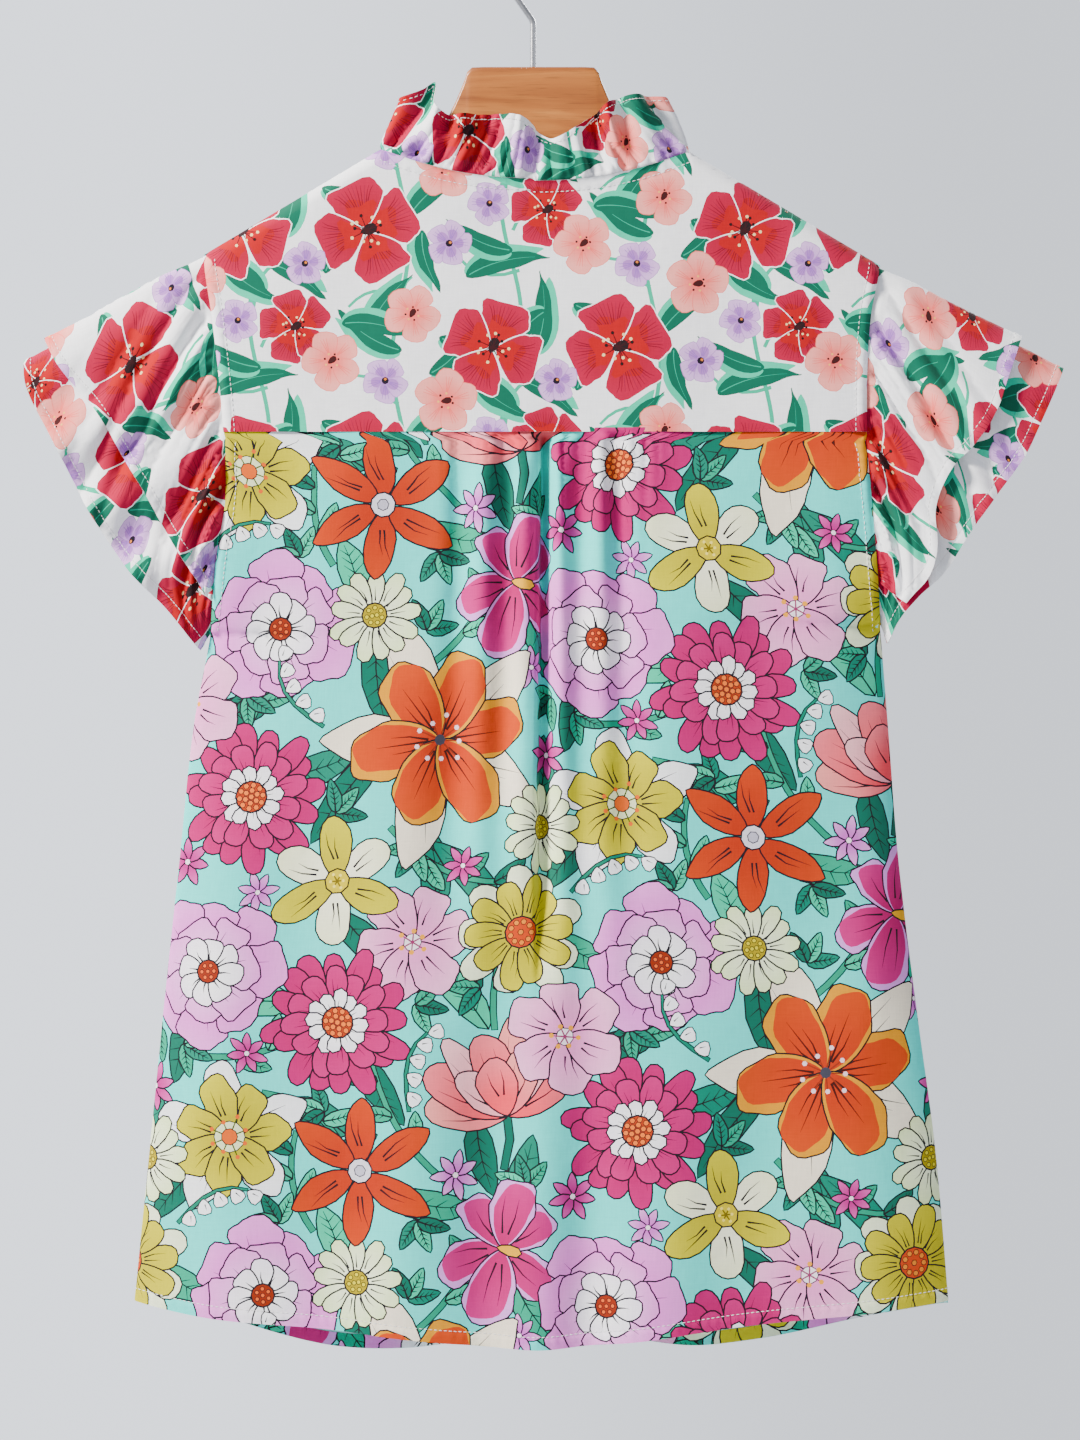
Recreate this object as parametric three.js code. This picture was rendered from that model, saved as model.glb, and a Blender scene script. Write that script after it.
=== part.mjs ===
// A short-sleeved blouse with a gathered back, hung on a wooden hanger.
//
// Millimetres, +Z up. The origin is the inside of the hook's crown, where a rail would touch it.
// -Y is the back of the blouse, the side that is seen, +Y is its front and +X is its right as seen.
// Each piece of cloth is a surface given by a function, thickened both ways into a closed wall.

import * as THREE from "three";

// Cloth and seams
const CLOTH = 1.5; // one layer of cotton with its turned seams
const GAP = 0.3; // left open at every seam

// Hook: a bent wire whose crown is a part circle above the stem
const HOOK = { wire: 3.8, radius: 23, kink: 40, end: -35, sides: 8, steps: 40 };

// Wooden hanger: a flat neck and two arms under the shoulder seams
const WOOD = {
  thickness: 12,
  edge: 5, // radius of the long edges
  top: -89,
  neckTop: 38, // half width of the neck at its flat top
  armStart: 120, // where the arm becomes straight
  armEnd: 178,
  tip: 188,
  lowerMiddle: -152,
  seat: 0.5, // between the arm and the cloth that hangs on it
};

// Shoulder line: both shoulder seams fall away from the neck at this slope
const SHOULDER = { neckX: 92, neckZ: -137.6, slope: 0.597, roll: 10 };

// Neckline: half width, half depth and the drop of its back and front
const NECK = { middle: 1.2, halfWidth: 93, halfDepth: 13, backDrop: 18.8, frontDrop: 74 };

// Split at the centre front below the neckline
const SPLIT = { middle: 5, halfWidth: 10, bottom: -342 };

// Seam between the back yoke and the gathered back panel
const YOKE_SEAM = -308.4;

// Outline of the body from the shoulder to the hem, and how far it stands from its mid plane
const BODY = [
  { z: -137, left: -196.8, right: 208.2, depth: 10.5 },
  { z: -204, left: -196.8, right: 208.2, depth: 11.5 },
  { z: -240, left: -191.5, right: 201.5, depth: 12.5 },
  { z: -309, left: -184.5, right: 199.2, depth: 14 },
  { z: -348, left: -183.5, right: 202.2, depth: 15.5 },
  { z: -384, left: -189, right: 205, depth: 16.5 },
  { z: -430, left: -193.5, right: 208.5, depth: 18 },
  { z: -480, left: -202.8, right: 212.5, depth: 19.5 },
  { z: -564, left: -211.8, right: 219, depth: 21 },
  { z: -648, left: -220.8, right: 229.2, depth: 22 },
  { z: -738, left: -229.8, right: 241.2, depth: 23 },
  { z: -828, left: -238.8, right: 249, depth: 24 },
];
const HEM_SIDE = -828; // the hem at both side seams

// Hem line from the left side seam to the right one
const HEM = [
  { x: -239, back: -828, front: -828 },
  { x: -200, back: -835, front: -838 },
  { x: -160, back: -839, front: -850 },
  { x: -115, back: -843, front: -860 },
  { x: -78, back: -847, front: -862 },
  { x: -38, back: -851, front: -857 },
  { x: 5, back: -853.5, front: -852 },
  { x: 50, back: -850, front: -855 },
  { x: 95, back: -844, front: -860 },
  { x: 130, back: -840, front: -856 },
  { x: 190, back: -834, front: -844 },
  { x: 249, back: -828, front: -830 },
];

// Armholes: where each ends under the arm, and how far its two edges stand from the mid plane
const ARMHOLE = { left: -430, right: -424, halfDepth: 12.5, edge: 0.9 };

// Folds that fall from the gathers under the yoke. A negative lift is a trough.
// x at the seam and at the lower end, half width and lift at both, and where the fold ends.
const BACK_FOLDS = [
  { x: -41, xLow: -52, width: 6, widthLow: 16, lift: -3.2, liftLow: -1.5, end: -640 },
  { x: -29, xLow: -34, width: 6, widthLow: 14, lift: 2.4, liftLow: 2.5, end: -700 },
  { x: -14, xLow: -16, width: 6, widthLow: 13, lift: -2.4, liftLow: -1.5, end: -560 },
  { x: -5, xLow: -8, width: 5, widthLow: 10, lift: 2.6, liftLow: 3, end: -640 },
  { x: 5.4, xLow: 4, width: 5, widthLow: 9, lift: -5.5, liftLow: -5, end: -640 },
  { x: 15, xLow: 17, width: 5, widthLow: 12, lift: 3, liftLow: 3, end: -690 },
  { x: 29, xLow: 30, width: 6, widthLow: 14, lift: -2.4, liftLow: -1.2, end: -560 },
  { x: 39, xLow: 44, width: 6, widthLow: 14, lift: 2.2, liftLow: 2.2, end: -700 },
  { x: 49, xLow: 58, width: 6, widthLow: 15, lift: -3.2, liftLow: -2, end: -620 },
];

// Slow waves of the lower body, deepest at the hem
const HEM_FOLDS = [
  { x: -185, width: 24, lift: 3 },
  { x: -130, width: 30, lift: -2.5 },
  { x: -78, width: 26, lift: 3.5 },
  { x: -29, width: 17, lift: -4 },
  { x: 5, width: 18, lift: 4 },
  { x: 33, width: 15, lift: -4 },
  { x: 80, width: 28, lift: 3 },
  { x: 140, width: 30, lift: -2.5 },
  { x: 200, width: 24, lift: 3 },
];

// Collar: height of the gathered stand along the back, from left to right
const COLLAR = { frontHeight: 36, waves: 15, wave: 3.6, flare: 1.5, lean: 0.6 };
const COLLAR_HEIGHT = [
  { x: -92, height: 38 },
  { x: -79, height: 44 },
  { x: -64, height: 34 },
  { x: -42, height: 34 },
  { x: -20, height: 37 },
  { x: -6, height: 35 },
  { x: 11, height: 24 },
  { x: 24, height: 28 },
  { x: 38, height: 35 },
  { x: 56, height: 42 },
  { x: 78, height: 41 },
  { x: 94, height: 37 },
];

// Lower sleeve tier: its hem from the top fold to the underarm
const SLEEVE_HEM = {
  left: [
    { q: 0, x: -304.8, z: -265.4 },
    { q: 0.08, x: -302.5, z: -281 },
    { q: 0.28, x: -283.8, z: -318 },
    { q: 0.45, x: -268.8, z: -348 },
    { q: 0.69, x: -241.8, z: -390 },
    { q: 0.87, x: -217, z: -416 },
    { q: 1, x: -200, z: -438 },
  ],
  right: [
    { q: 0, x: 318, z: -269.6 },
    { q: 0.3, x: 292.2, z: -324 },
    { q: 0.53, x: 267, z: -359 },
    { q: 0.74, x: 243.6, z: -394 },
    { q: 0.84, x: 230.4, z: -406.5 },
    { q: 0.92, x: 219, z: -420 },
    { q: 1, x: 213, z: -434 },
  ],
};

// Upper sleeve tier: how much of the lower tier it covers, from the top fold to its end
const UPPER_REACH = {
  left: [
    { q: 0, reach: 0.86 },
    { q: 0.25, reach: 0.72 },
    { q: 0.5, reach: 0.62 },
    { q: 0.75, reach: 0.46 },
    { q: 0.88, reach: 0.22 },
  ],
  right: [
    { q: 0, reach: 0.75 },
    { q: 0.25, reach: 0.75 },
    { q: 0.5, reach: 0.63 },
    { q: 0.62, reach: 0.68 },
    { q: 0.75, reach: 0.88 },
    { q: 0.88, reach: 0.9 },
  ],
};
const SLEEVE = {
  hemHalfDepth: 15,
  folds: 4.5, // folds on each side of a sleeve
  foldBase: 0.5,
  foldHem: 3.4,
  tierGap: 2.5, // between the middles of the two tiers at the armhole
  tierSpread: 1.2, // and as much more at the hem of the upper tier
  upperEnd: 0.88,
  seam: 0.7, // from the edge of the body's armhole, whose straight stretches cut its curve
};

const lerp = THREE.MathUtils.lerp;
const clamp01 = (t) => THREE.MathUtils.clamp(t, 0, 1);
const bell = (t) => Math.exp(-t * t);
const ease = (t) => THREE.MathUtils.smoothstep(t, 0, 1);

// Smooth reading of one column of a table whose rows rise or fall along the key column.
function read(table, key, at, column) {
  const last = table.length - 1;
  const way = Math.sign(table[last][key] - table[0][key]);
  let i = table.findIndex((row, n) => n > 0 && (row[key] - at) * way >= 0);
  if (i < 0) i = last;
  const [a, b] = [table[i - 1], table[i]];
  const slope = (p, q) => (q[column] - p[column]) / (q[key] - p[key]);
  const middle = slope(a, b);
  const slopeA = i > 1 ? (slope(table[i - 2], a) + middle) / 2 : middle;
  const slopeB = i < last ? (middle + slope(b, table[i + 1])) / 2 : middle;
  const span = b[key] - a[key];
  const t = clamp01((at - a[key]) / span);
  const u = 1 - t;
  return (
    a[column] * (1 + 2 * t) * u * u +
    b[column] * (3 - 2 * t) * t * t +
    slopeA * span * t * u * u -
    slopeB * span * t * t * u
  );
}

// Middle of the cloth along the shoulder seam
const shoulderZ = (x) => SHOULDER.neckZ - SHOULDER.slope * (Math.abs(x) - SHOULDER.neckX);
const SLOPE_LENGTH = Math.hypot(1, SHOULDER.slope);
const ridgeZ = (x) => shoulderZ(x) - (CLOTH / 2) * SLOPE_LENGTH;

// Neckline: place across it, half depth and height on the back and on the front
const neckShare = (x) => Math.min(1, Math.abs((x - NECK.middle) / NECK.halfWidth));
const neckDepth = (x) => NECK.halfDepth * Math.sqrt(1 - neckShare(x) ** 8);
const inNeck = (x) => neckShare(x) < 1;

function neckZ(x, drop, power) {
  const edge = ridgeZ(NECK.middle + Math.sign(x - NECK.middle) * NECK.halfWidth);
  return edge - drop * (1 - neckShare(x) ** power);
}

// Top edge of the back yoke and of the front panel
const backTop = (x) => (inNeck(x) ? neckZ(x, NECK.backDrop, 2.2) : ridgeZ(x));
function frontTop(x) {
  if (!inNeck(x)) return ridgeZ(x);
  const neck = neckZ(x, NECK.frontDrop, 2);
  const intoSplit = 1 - Math.abs(x - SPLIT.middle) / SPLIT.halfWidth;
  return intoSplit > 0 ? lerp(neck, SPLIT.bottom, intoSplit) : neck;
}

// Half the opening of an armhole at a height under the shoulder, closed below the underarm
function armholeDepth(z, side, top) {
  const bottom = side < 0 ? ARMHOLE.left : ARMHOLE.right;
  const q = clamp01((top - z) / (top - bottom));
  const open = Math.sqrt(1 - (2 * q - 1) ** 6);
  return ARMHOLE.edge + (ARMHOLE.halfDepth - ARMHOLE.edge) * open;
}

// How far the cloth of the body stands from the mid plane, without folds
function bodyDepth(x, z, top) {
  const left = read(BODY, "z", z, "left");
  const right = read(BODY, "z", z, "right");
  const across = clamp01((x - left) / (right - left)) * 2 - 1;
  const edge = armholeDepth(z, across, top);
  const full = read(BODY, "z", z, "depth");
  const round = (1 - Math.abs(across) ** 3) ** 0.55;
  const depth = edge + (full - edge) * round;
  const topDepth = inNeck(x) ? neckDepth(x) : GAP / 2;
  const below = clamp01((top - z) / SHOULDER.roll);
  return topDepth + (depth - topDepth) * Math.sqrt(1 - (1 - below) ** 2);
}

// Folds: how far they lift the cloth out from its plain form
function foldsOfBack(x, z) {
  let lift = 0;
  for (const fold of BACK_FOLDS) {
    const t = clamp01((YOKE_SEAM - z) / (YOKE_SEAM - fold.end));
    const centre = lerp(fold.x, fold.xLow, t);
    const width = lerp(fold.width, fold.widthLow, t);
    const height = lerp(fold.lift, fold.liftLow, t) * (1 - ease((t - 0.7) / 0.3));
    lift += height * bell((x - centre) / width);
  }
  return lift * (0.45 + 0.55 * ease((YOKE_SEAM - z) / 40));
}

function foldsOfHem(x, z) {
  const grow = ease((YOKE_SEAM - 120 - z) / 380);
  let lift = 0;
  for (const fold of HEM_FOLDS) lift += fold.lift * bell((x - fold.x) / fold.width);
  return lift * grow;
}

// Closed wall round a grid of points that runs through the middle of the cloth.
// side turns the face that shows outwards, loop joins the last column to the first, and
// square names the axis that a rim is cut square to, so that two pieces can meet there.
function clothWall(grid, { side = 1, loop = false, square = () => "" } = {}) {
  const columns = grid.length;
  const rows = grid[0].length;
  const column = (i) => (loop ? (i + columns) % columns : THREE.MathUtils.clamp(i, 0, columns - 1));
  const row = (j) => THREE.MathUtils.clamp(j, 0, rows - 1);
  const positions = [];
  const normal = new THREE.Vector3();
  const across = new THREE.Vector3();
  const down = new THREE.Vector3();
  for (const face of [0.5, -0.5]) {
    for (let i = 0; i < columns; i++) {
      for (let j = 0; j < rows; j++) {
        across.subVectors(grid[column(i + 1)][j], grid[column(i - 1)][j]);
        down.subVectors(grid[i][row(j + 1)], grid[i][row(j - 1)]);
        normal.crossVectors(down, across).multiplyScalar(side);
        for (const axis of square(i, j)) normal[axis] = 0;
        normal.setLength(CLOTH * face);
        positions.push(...grid[i][j].clone().add(normal).toArray());
      }
    }
  }
  const inner = columns * rows;
  const at = (i, j) => column(i) * rows + j;
  const index = [];
  const quad = (a, b, c, d) => index.push(a, b, c, a, c, d);
  const lastColumn = loop ? columns : columns - 1;
  for (let i = 0; i < lastColumn; i++) {
    for (let j = 0; j < rows - 1; j++) {
      const [a, b, c, d] = [at(i, j), at(i, j + 1), at(i + 1, j + 1), at(i + 1, j)];
      quad(a, b, c, d);
      quad(inner + d, inner + c, inner + b, inner + a);
    }
    const [top, topNext] = [at(i, 0), at(i + 1, 0)];
    const [foot, footNext] = [at(i, rows - 1), at(i + 1, rows - 1)];
    quad(top, topNext, inner + topNext, inner + top);
    quad(footNext, foot, inner + foot, inner + footNext);
  }
  for (let j = 0; j < rows - 1 && !loop; j++) {
    const [first, firstNext] = [at(0, j), at(0, j + 1)];
    const [end, endNext] = [at(columns - 1, j), at(columns - 1, j + 1)];
    quad(firstNext, first, inner + first, inner + firstNext);
    quad(end, endNext, inner + endNext, inner + end);
  }
  if (side < 0) index.reverse();
  const geometry = new THREE.BufferGeometry();
  geometry.setAttribute("position", new THREE.Float32BufferAttribute(positions, 3));
  geometry.setIndex(index);
  geometry.computeVertexNormals();
  return geometry;
}

// Places across a panel, from 0 at its left edge to 1 at its right edge: even steps between
// named places, so that a fold or a corner of the neckline falls on a column.
function columnsThrough(stops) {
  const width = BODY[0].right - BODY[0].left;
  const places = [0];
  for (const { to, steps } of stops) {
    const from = places[places.length - 1];
    const goal = (to - BODY[0].left) / width;
    for (let n = 1; n <= steps; n++) places.push(lerp(from, goal, n / steps));
  }
  return places;
}

const NECK_LEFT = NECK.middle - NECK.halfWidth;
const NECK_RIGHT = NECK.middle + NECK.halfWidth;
const ROLL_ROWS = [0, 0.6, 2, 4.5, 10]; // drops over the rolled shoulder edge
const inBodyRow = (s, z) => lerp(read(BODY, "z", z, "left"), read(BODY, "z", z, "right"), s);

const YOKE_COLUMNS = columnsThrough([
  { to: NECK_LEFT - 4, steps: 7 },
  { to: NECK_LEFT, steps: 1 },
  { to: NECK_LEFT + 8, steps: 3 },
  { to: NECK_RIGHT - 8, steps: 12 },
  { to: NECK_RIGHT, steps: 3 },
  { to: NECK_RIGHT + 4, steps: 1 },
  { to: BODY[0].right, steps: 7 },
]);
const FRONT_COLUMNS = columnsThrough([
  { to: NECK_LEFT, steps: 6 },
  { to: NECK_LEFT + 8, steps: 3 },
  { to: SPLIT.middle - SPLIT.halfWidth, steps: 5 },
  { to: SPLIT.middle, steps: 2 },
  { to: SPLIT.middle + SPLIT.halfWidth, steps: 2 },
  { to: NECK_RIGHT - 8, steps: 5 },
  { to: NECK_RIGHT, steps: 3 },
  { to: BODY[0].right, steps: 6 },
]);

// Back yoke: from the back neckline and the shoulder seams down to the gathered panel
function backYoke() {
  const lowerRows = 5;
  const seam = YOKE_SEAM + GAP / 2;
  const grid = YOKE_COLUMNS.map((s) => {
    const top = backTop(inBodyRow(s, BODY[0].z));
    const drops = ROLL_ROWS.map((drop) => top - drop);
    const start = drops[drops.length - 1];
    for (let n = 1; n <= lowerRows; n++) drops.push(lerp(start, seam, n / lowerRows));
    return drops.map((z) => {
      const x = inBodyRow(s, z);
      return new THREE.Vector3(x, -bodyDepth(x, z, top), z);
    });
  });
  const last = grid.length - 1;
  const foot = grid[0].length - 1;
  const square = (i, j) => {
    if (j === foot) return i === 0 || i === last ? "xz" : "z";
    if (i === 0 || i === last) return j === 0 ? "xy" : "x";
    return j === 0 && !inNeck(grid[i][0].x) ? "y" : "";
  };
  return clothWall(grid, { side: 1, square });
}

// Panel that ends at the hem: front or gathered back
function hemPanel(places, rows, facing, topOf, hemColumn, lift, square) {
  const grid = places.map((s) => {
    const topX = inBodyRow(s, BODY[0].z);
    const top = topOf(topX);
    const edge = facing > 0 ? top : backTop(topX);
    const drops = rows.map((v) => ({ nominal: lerp(top, HEM_SIDE, v), v }));
    if (facing > 0) drops.splice(1, 0, ...ROLL_ROWS.slice(1, -1).map((d) => ({ nominal: top - d })));
    return drops.map(({ nominal, v }) => {
      const x = inBodyRow(s, nominal);
      const z = v === undefined ? nominal : lerp(top, read(HEM, "x", x, hemColumn), v);
      return new THREE.Vector3(x, facing * (bodyDepth(x, nominal, edge) + lift(x, z)), z);
    });
  });
  return clothWall(grid, { side: -facing, square: square(grid) });
}

// Gathered back panel
function backPanel() {
  const places = columnsThrough([
    { to: -182, steps: 2 },
    { to: -62, steps: 7 },
    { to: 74, steps: 27 },
    { to: 194, steps: 7 },
    { to: BODY[0].right, steps: 2 },
  ]);
  const rows = [0, 0.035, 0.09, 0.16, 0.24, 0.32, 0.41, 0.5, 0.6, 0.7, 0.8, 0.9, 1];
  const lift = (x, z) => foldsOfBack(x, z) + foldsOfHem(x, z);
  const square = (grid) => (i, j) => {
    const atSide = i === 0 || i === grid.length - 1;
    return (atSide ? "x" : "") + (j === 0 ? "z" : "");
  };
  return hemPanel(places, rows, -1, () => YOKE_SEAM - GAP / 2, "back", lift, square);
}

// Front panel, with the neckline and the split cut into its top edge
function frontPanel() {
  const rows = [0, 0.04, 0.08, 0.13, 0.18, 0.23, 0.29, 0.36, 0.44, 0.53, 0.62, 0.72, 0.82, 0.91, 1];
  const square = (grid) => (i, j) => {
    const atSide = i === 0 || i === grid.length - 1;
    const onShoulder = j === 0 && !inNeck(grid[i][0].x);
    return (atSide ? "x" : "") + (onShoulder ? "y" : "");
  };
  return hemPanel(FRONT_COLUMNS, rows, 1, frontTop, "front", foldsOfHem, square);
}

// Points of the neckline at even steps, from the split's left edge round the back to its right.
// They lie on the straight stretches between the columns of the two panels.
function neckLoop(count) {
  const ends = [SPLIT.middle - SPLIT.halfWidth, SPLIT.middle + SPLIT.halfWidth];
  const across = (columns) =>
    columns.map((s) => inBodyRow(s, BODY[0].z)).filter((x) => x > NECK_LEFT + 1e-6 && inNeck(x));
  const front = across(FRONT_COLUMNS);
  const point = (x, facing, z) => new THREE.Vector3(x, facing * neckDepth(x), z);
  const onFront = (x) => point(x, 1, neckZ(x, NECK.frontDrop, 2));
  const corner = (x) => new THREE.Vector3(x, 0, ridgeZ(x));
  const points = [
    ...front.filter((x) => x < ends[0] + 1e-6).reverse().map(onFront),
    corner(NECK_LEFT),
    ...across(YOKE_COLUMNS).map((x) => point(x, -1, backTop(x))),
    corner(NECK_RIGHT),
    ...front.filter((x) => x > ends[1] - 1e-6).reverse().map(onFront),
  ];
  const lengths = [0];
  for (let n = 1; n < points.length; n++) {
    lengths.push(lengths[n - 1] + points[n].distanceTo(points[n - 1]));
  }
  const whole = lengths[lengths.length - 1];
  return Array.from({ length: count }, (_, k) => {
    const goal = (whole * k) / (count - 1);
    let n = lengths.findIndex((length) => length >= goal - 1e-9);
    if (n < 1) n = 1;
    const t = (goal - lengths[n - 1]) / (lengths[n] - lengths[n - 1]);
    return points[n - 1].clone().lerp(points[n], t);
  });
}

// Gathered collar that stands on the neckline
function collar() {
  const columns = 91;
  const heights = [0, 0.2, 0.55, 1];
  const base = neckLoop(columns);
  const grid = base.map((point, k) => {
    const across = (point.x - NECK.middle) / NECK.halfWidth;
    const share = Math.min(1, Math.abs(across));
    const back = point.y < 0 ? 1 : 0;
    const out = new THREE.Vector3(
      (6 * across ** 5) / NECK.halfWidth,
      (2 * point.y) / NECK.halfDepth ** 2,
      0,
    ).normalize();
    const inward = COLLAR.lean * share ** 2 + (back ? 0 : 0.5 * Math.sin(Math.PI * share));
    const up = new THREE.Vector3(-Math.sign(across) * inward, 0, 1).normalize();
    const frontShare = ease((point.y + NECK.halfDepth / 2) / NECK.halfDepth);
    const height = lerp(
      read(COLLAR_HEIGHT, "x", point.x, "height"),
      COLLAR.frontHeight,
      frontShare,
    );
    const wave = COLLAR.wave * Math.sin((2 * Math.PI * COLLAR.waves * k) / (columns - 1));
    const lift = 2.4 * GAP + 0.6 * share ** 8;
    return heights
      .map((h) =>
        point
          .clone()
          .addScaledVector(up, lift + height * h)
          .addScaledVector(out, COLLAR.flare * h * h + wave * h ** 0.8),
      )
      .reverse();
  });
  return clothWall(grid, { side: 1 });
}

// A point of a sleeve. around runs from -1 at the underarm over the front and the top fold, 0,
// to 1 at the underarm over the back, and along from 0 at the armhole to 1 at the hem.
function sleevePoint(side, around, along) {
  const hand = side < 0 ? "left" : "right";
  const q = (1 - Math.cos(Math.PI * Math.abs(around))) / 2;
  const edge = BODY[0][hand];
  const top = ridgeZ(edge) - SLEEVE.tierGap;
  const z = lerp(top, ARMHOLE[hand] + 1, q);
  const x = read(BODY, "z", z, hand) + side * SLEEVE.seam;
  const hem = SLEEVE_HEM[hand];
  const open = Math.sqrt(Math.max(0, 1 - (2 * q - 1) ** 4));
  const halfDepth = lerp(ARMHOLE.halfDepth - SLEEVE.tierGap, SLEEVE.hemHalfDepth, along) * open;
  const fold = lerp(SLEEVE.foldBase, SLEEVE.foldHem, along) * Math.sin(Math.PI * q);
  const wave = fold * Math.sin(2 * Math.PI * SLEEVE.folds * q);
  const facing = around > 0 ? -1 : 1;
  return new THREE.Vector3(
    lerp(x, read(hem, "q", q, "x"), along),
    facing * (halfDepth + wave),
    lerp(z, read(hem, "q", q, "z"), along),
  );
}

// The way out of a sleeve's cloth at a point
function sleeveOut(side, around, along) {
  const step = 0.01;
  const here = sleevePoint(side, around - step, along);
  const next = sleevePoint(side, around + step, along);
  const nearer = sleevePoint(side, around, along - step);
  const further = sleevePoint(side, around, along + step);
  return next.sub(here).cross(further.sub(nearer)).multiplyScalar(side).normalize();
}

// Lower sleeve tier: a tube all round the armhole
function sleeveLower(side) {
  const columns = 30;
  const rows = [0, 0.12, 0.35, 0.65, 1];
  const grid = Array.from({ length: columns }, (_, k) =>
    rows.map((v) => sleevePoint(side, -1 + (2 * k) / columns, v)),
  );
  return clothWall(grid, { side, loop: true, square: (i, j) => (j === 0 ? "x" : "") });
}

// Upper sleeve tier: a shorter strip over the lower one, open under the arm
function sleeveUpper(side) {
  const columns = 29;
  const rows = [0, 0.12, 0.35, 0.65, 1];
  const reach = UPPER_REACH[side < 0 ? "left" : "right"];
  const end = Math.acos(1 - 2 * SLEEVE.upperEnd) / Math.PI;
  const grid = Array.from({ length: columns }, (_, k) => {
    const around = lerp(-end, end, k / (columns - 1));
    const q = (1 - Math.cos(Math.PI * Math.abs(around))) / 2;
    const share = read(reach, "q", q, "reach");
    return rows.map((v) => {
      const along = v * share;
      const lift = SLEEVE.tierGap + SLEEVE.tierSpread * v;
      const out = sleeveOut(side, around, along);
      if (v === 0) out.setX(0).normalize();
      return sleevePoint(side, around, along).addScaledVector(out, lift);
    });
  });
  return clothWall(grid, { side, square: (i, j) => (j === 0 ? "x" : "") });
}

// Wooden body of the hanger, cut from a flat board with rounded edges
function hangerBody() {
  const armTop = (x) => shoulderZ(x) - CLOTH * SLOPE_LENGTH - WOOD.seat;
  const half = (shape, way) => {
    const at = (x, z) => [way * x, z];
    const curves = [
      () => shape.lineTo(...at(WOOD.neckTop - 5, WOOD.top)),
      () => shape.quadraticCurveTo(...at(WOOD.neckTop, WOOD.top), ...at(WOOD.neckTop + 2, -95)),
      () => shape.lineTo(...at(46, -109)),
      () => shape.bezierCurveTo(...at(56, -131), ...at(70, -138), ...at(88, -146)),
      () => shape.quadraticCurveTo(...at(104, -152), ...at(WOOD.armStart, armTop(WOOD.armStart))),
      () => shape.lineTo(...at(WOOD.armEnd, armTop(WOOD.armEnd))),
      () => shape.quadraticCurveTo(
        ...at(WOOD.tip, armTop(WOOD.tip)),
        ...at(WOOD.tip, armTop(WOOD.tip) - 8),
      ),
      () => shape.quadraticCurveTo(
        ...at(WOOD.tip - 1, armTop(WOOD.tip) - 17),
        ...at(WOOD.tip - 14, armTop(WOOD.tip) - 13),
      ),
      () => shape.quadraticCurveTo(...at(95, -178), ...at(0, WOOD.lowerMiddle)),
    ];
    for (const curve of curves) curve();
  };
  const right = new THREE.Shape();
  right.moveTo(0, WOOD.top);
  half(right, 1);
  const rightPoints = right.getPoints(5);
  const leftPoints = rightPoints
    .slice(1, -1)
    .reverse()
    .map((p) => new THREE.Vector2(-p.x, p.y));
  const outline = new THREE.Shape([...rightPoints.slice(1), ...leftPoints]);
  const geometry = new THREE.ExtrudeGeometry(outline, {
    depth: WOOD.thickness - 2 * WOOD.edge,
    bevelThickness: WOOD.edge,
    bevelSize: WOOD.edge,
    bevelOffset: -WOOD.edge,
    bevelSegments: 3,
  });
  geometry.translate(0, 0, WOOD.edge - WOOD.thickness / 2);
  geometry.rotateX(Math.PI / 2);
  return geometry;
}

// Wire hook: straight stem, a kink to the left and a part circle over the top
function hangerHook() {
  const centre = -HOOK.radius + HOOK.wire / 2;
  const kinkZ = centre - HOOK.kink;
  const lean = Math.asin(HOOK.radius / HOOK.kink);
  const first = Math.PI + lean;
  const last = THREE.MathUtils.degToRad(HOOK.end);
  const arcSteps = 14;
  const points = [new THREE.Vector3(0, 0, WOOD.top + GAP), new THREE.Vector3(0, 0, kinkZ - 6)];
  points.push(new THREE.Vector3(0, 0, kinkZ - 2));
  for (let n = 0; n <= arcSteps; n++) {
    const angle = lerp(first, last, n / arcSteps);
    points.push(
      new THREE.Vector3(
        HOOK.radius * Math.cos(angle),
        0,
        centre + HOOK.radius * Math.sin(angle),
      ),
    );
  }
  const path = new THREE.CatmullRomCurve3(points, false, "centripetal");
  const ring = Array.from({ length: HOOK.sides }, (_, n) => {
    const angle = (2 * Math.PI * n) / HOOK.sides;
    return new THREE.Vector2(Math.cos(angle), Math.sin(angle)).multiplyScalar(HOOK.wire / 2);
  });
  return new THREE.ExtrudeGeometry(new THREE.Shape(ring), {
    steps: HOOK.steps,
    bevelEnabled: false,
    extrudePath: path,
  });
}

function piece(name, geometry, color, roughness, metalness = 0) {
  const material = new THREE.MeshStandardMaterial({ color, roughness, metalness });
  const mesh = new THREE.Mesh(geometry, material);
  mesh.name = name;
  return mesh;
}

const blouse = new THREE.Group();
blouse.add(
  piece("hanger_hook", hangerHook(), 0x9a9d9f, 0.3, 1),
  piece("hanger_body", hangerBody(), 0xc98f4e, 0.45),
  piece("back_yoke", backYoke(), 0xf0eff3, 0.85),
  piece("back_panel", backPanel(), 0xb5e5e0, 0.85),
  piece("front_panel", frontPanel(), 0xb5e5e0, 0.85),
  piece("collar", collar(), 0xf0eff3, 0.85),
);
for (const [hand, side] of [["left", -1], ["right", 1]]) {
  blouse.add(
    piece("sleeve_lower_" + hand, sleeveLower(side), 0xf0eff3, 0.85),
    piece("sleeve_upper_" + hand, sleeveUpper(side), 0xf0eff3, 0.85),
  );
}

export default blouse;
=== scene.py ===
# %% [markdown]
# # A printed cotton blouse on a wooden hanger
#
# The blouse hangs nearly flat and shows its back. A solid model of it, the frame, is already
# made: it says where every piece is. This lesson dresses that frame. The cloth is made as thin
# shells on the frame's forms, and the two prints are cut into the cloth as real outlines, so
# that they stay sharp at any distance.

# %% Load the frame, and a way to read a part's box
import math

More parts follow.
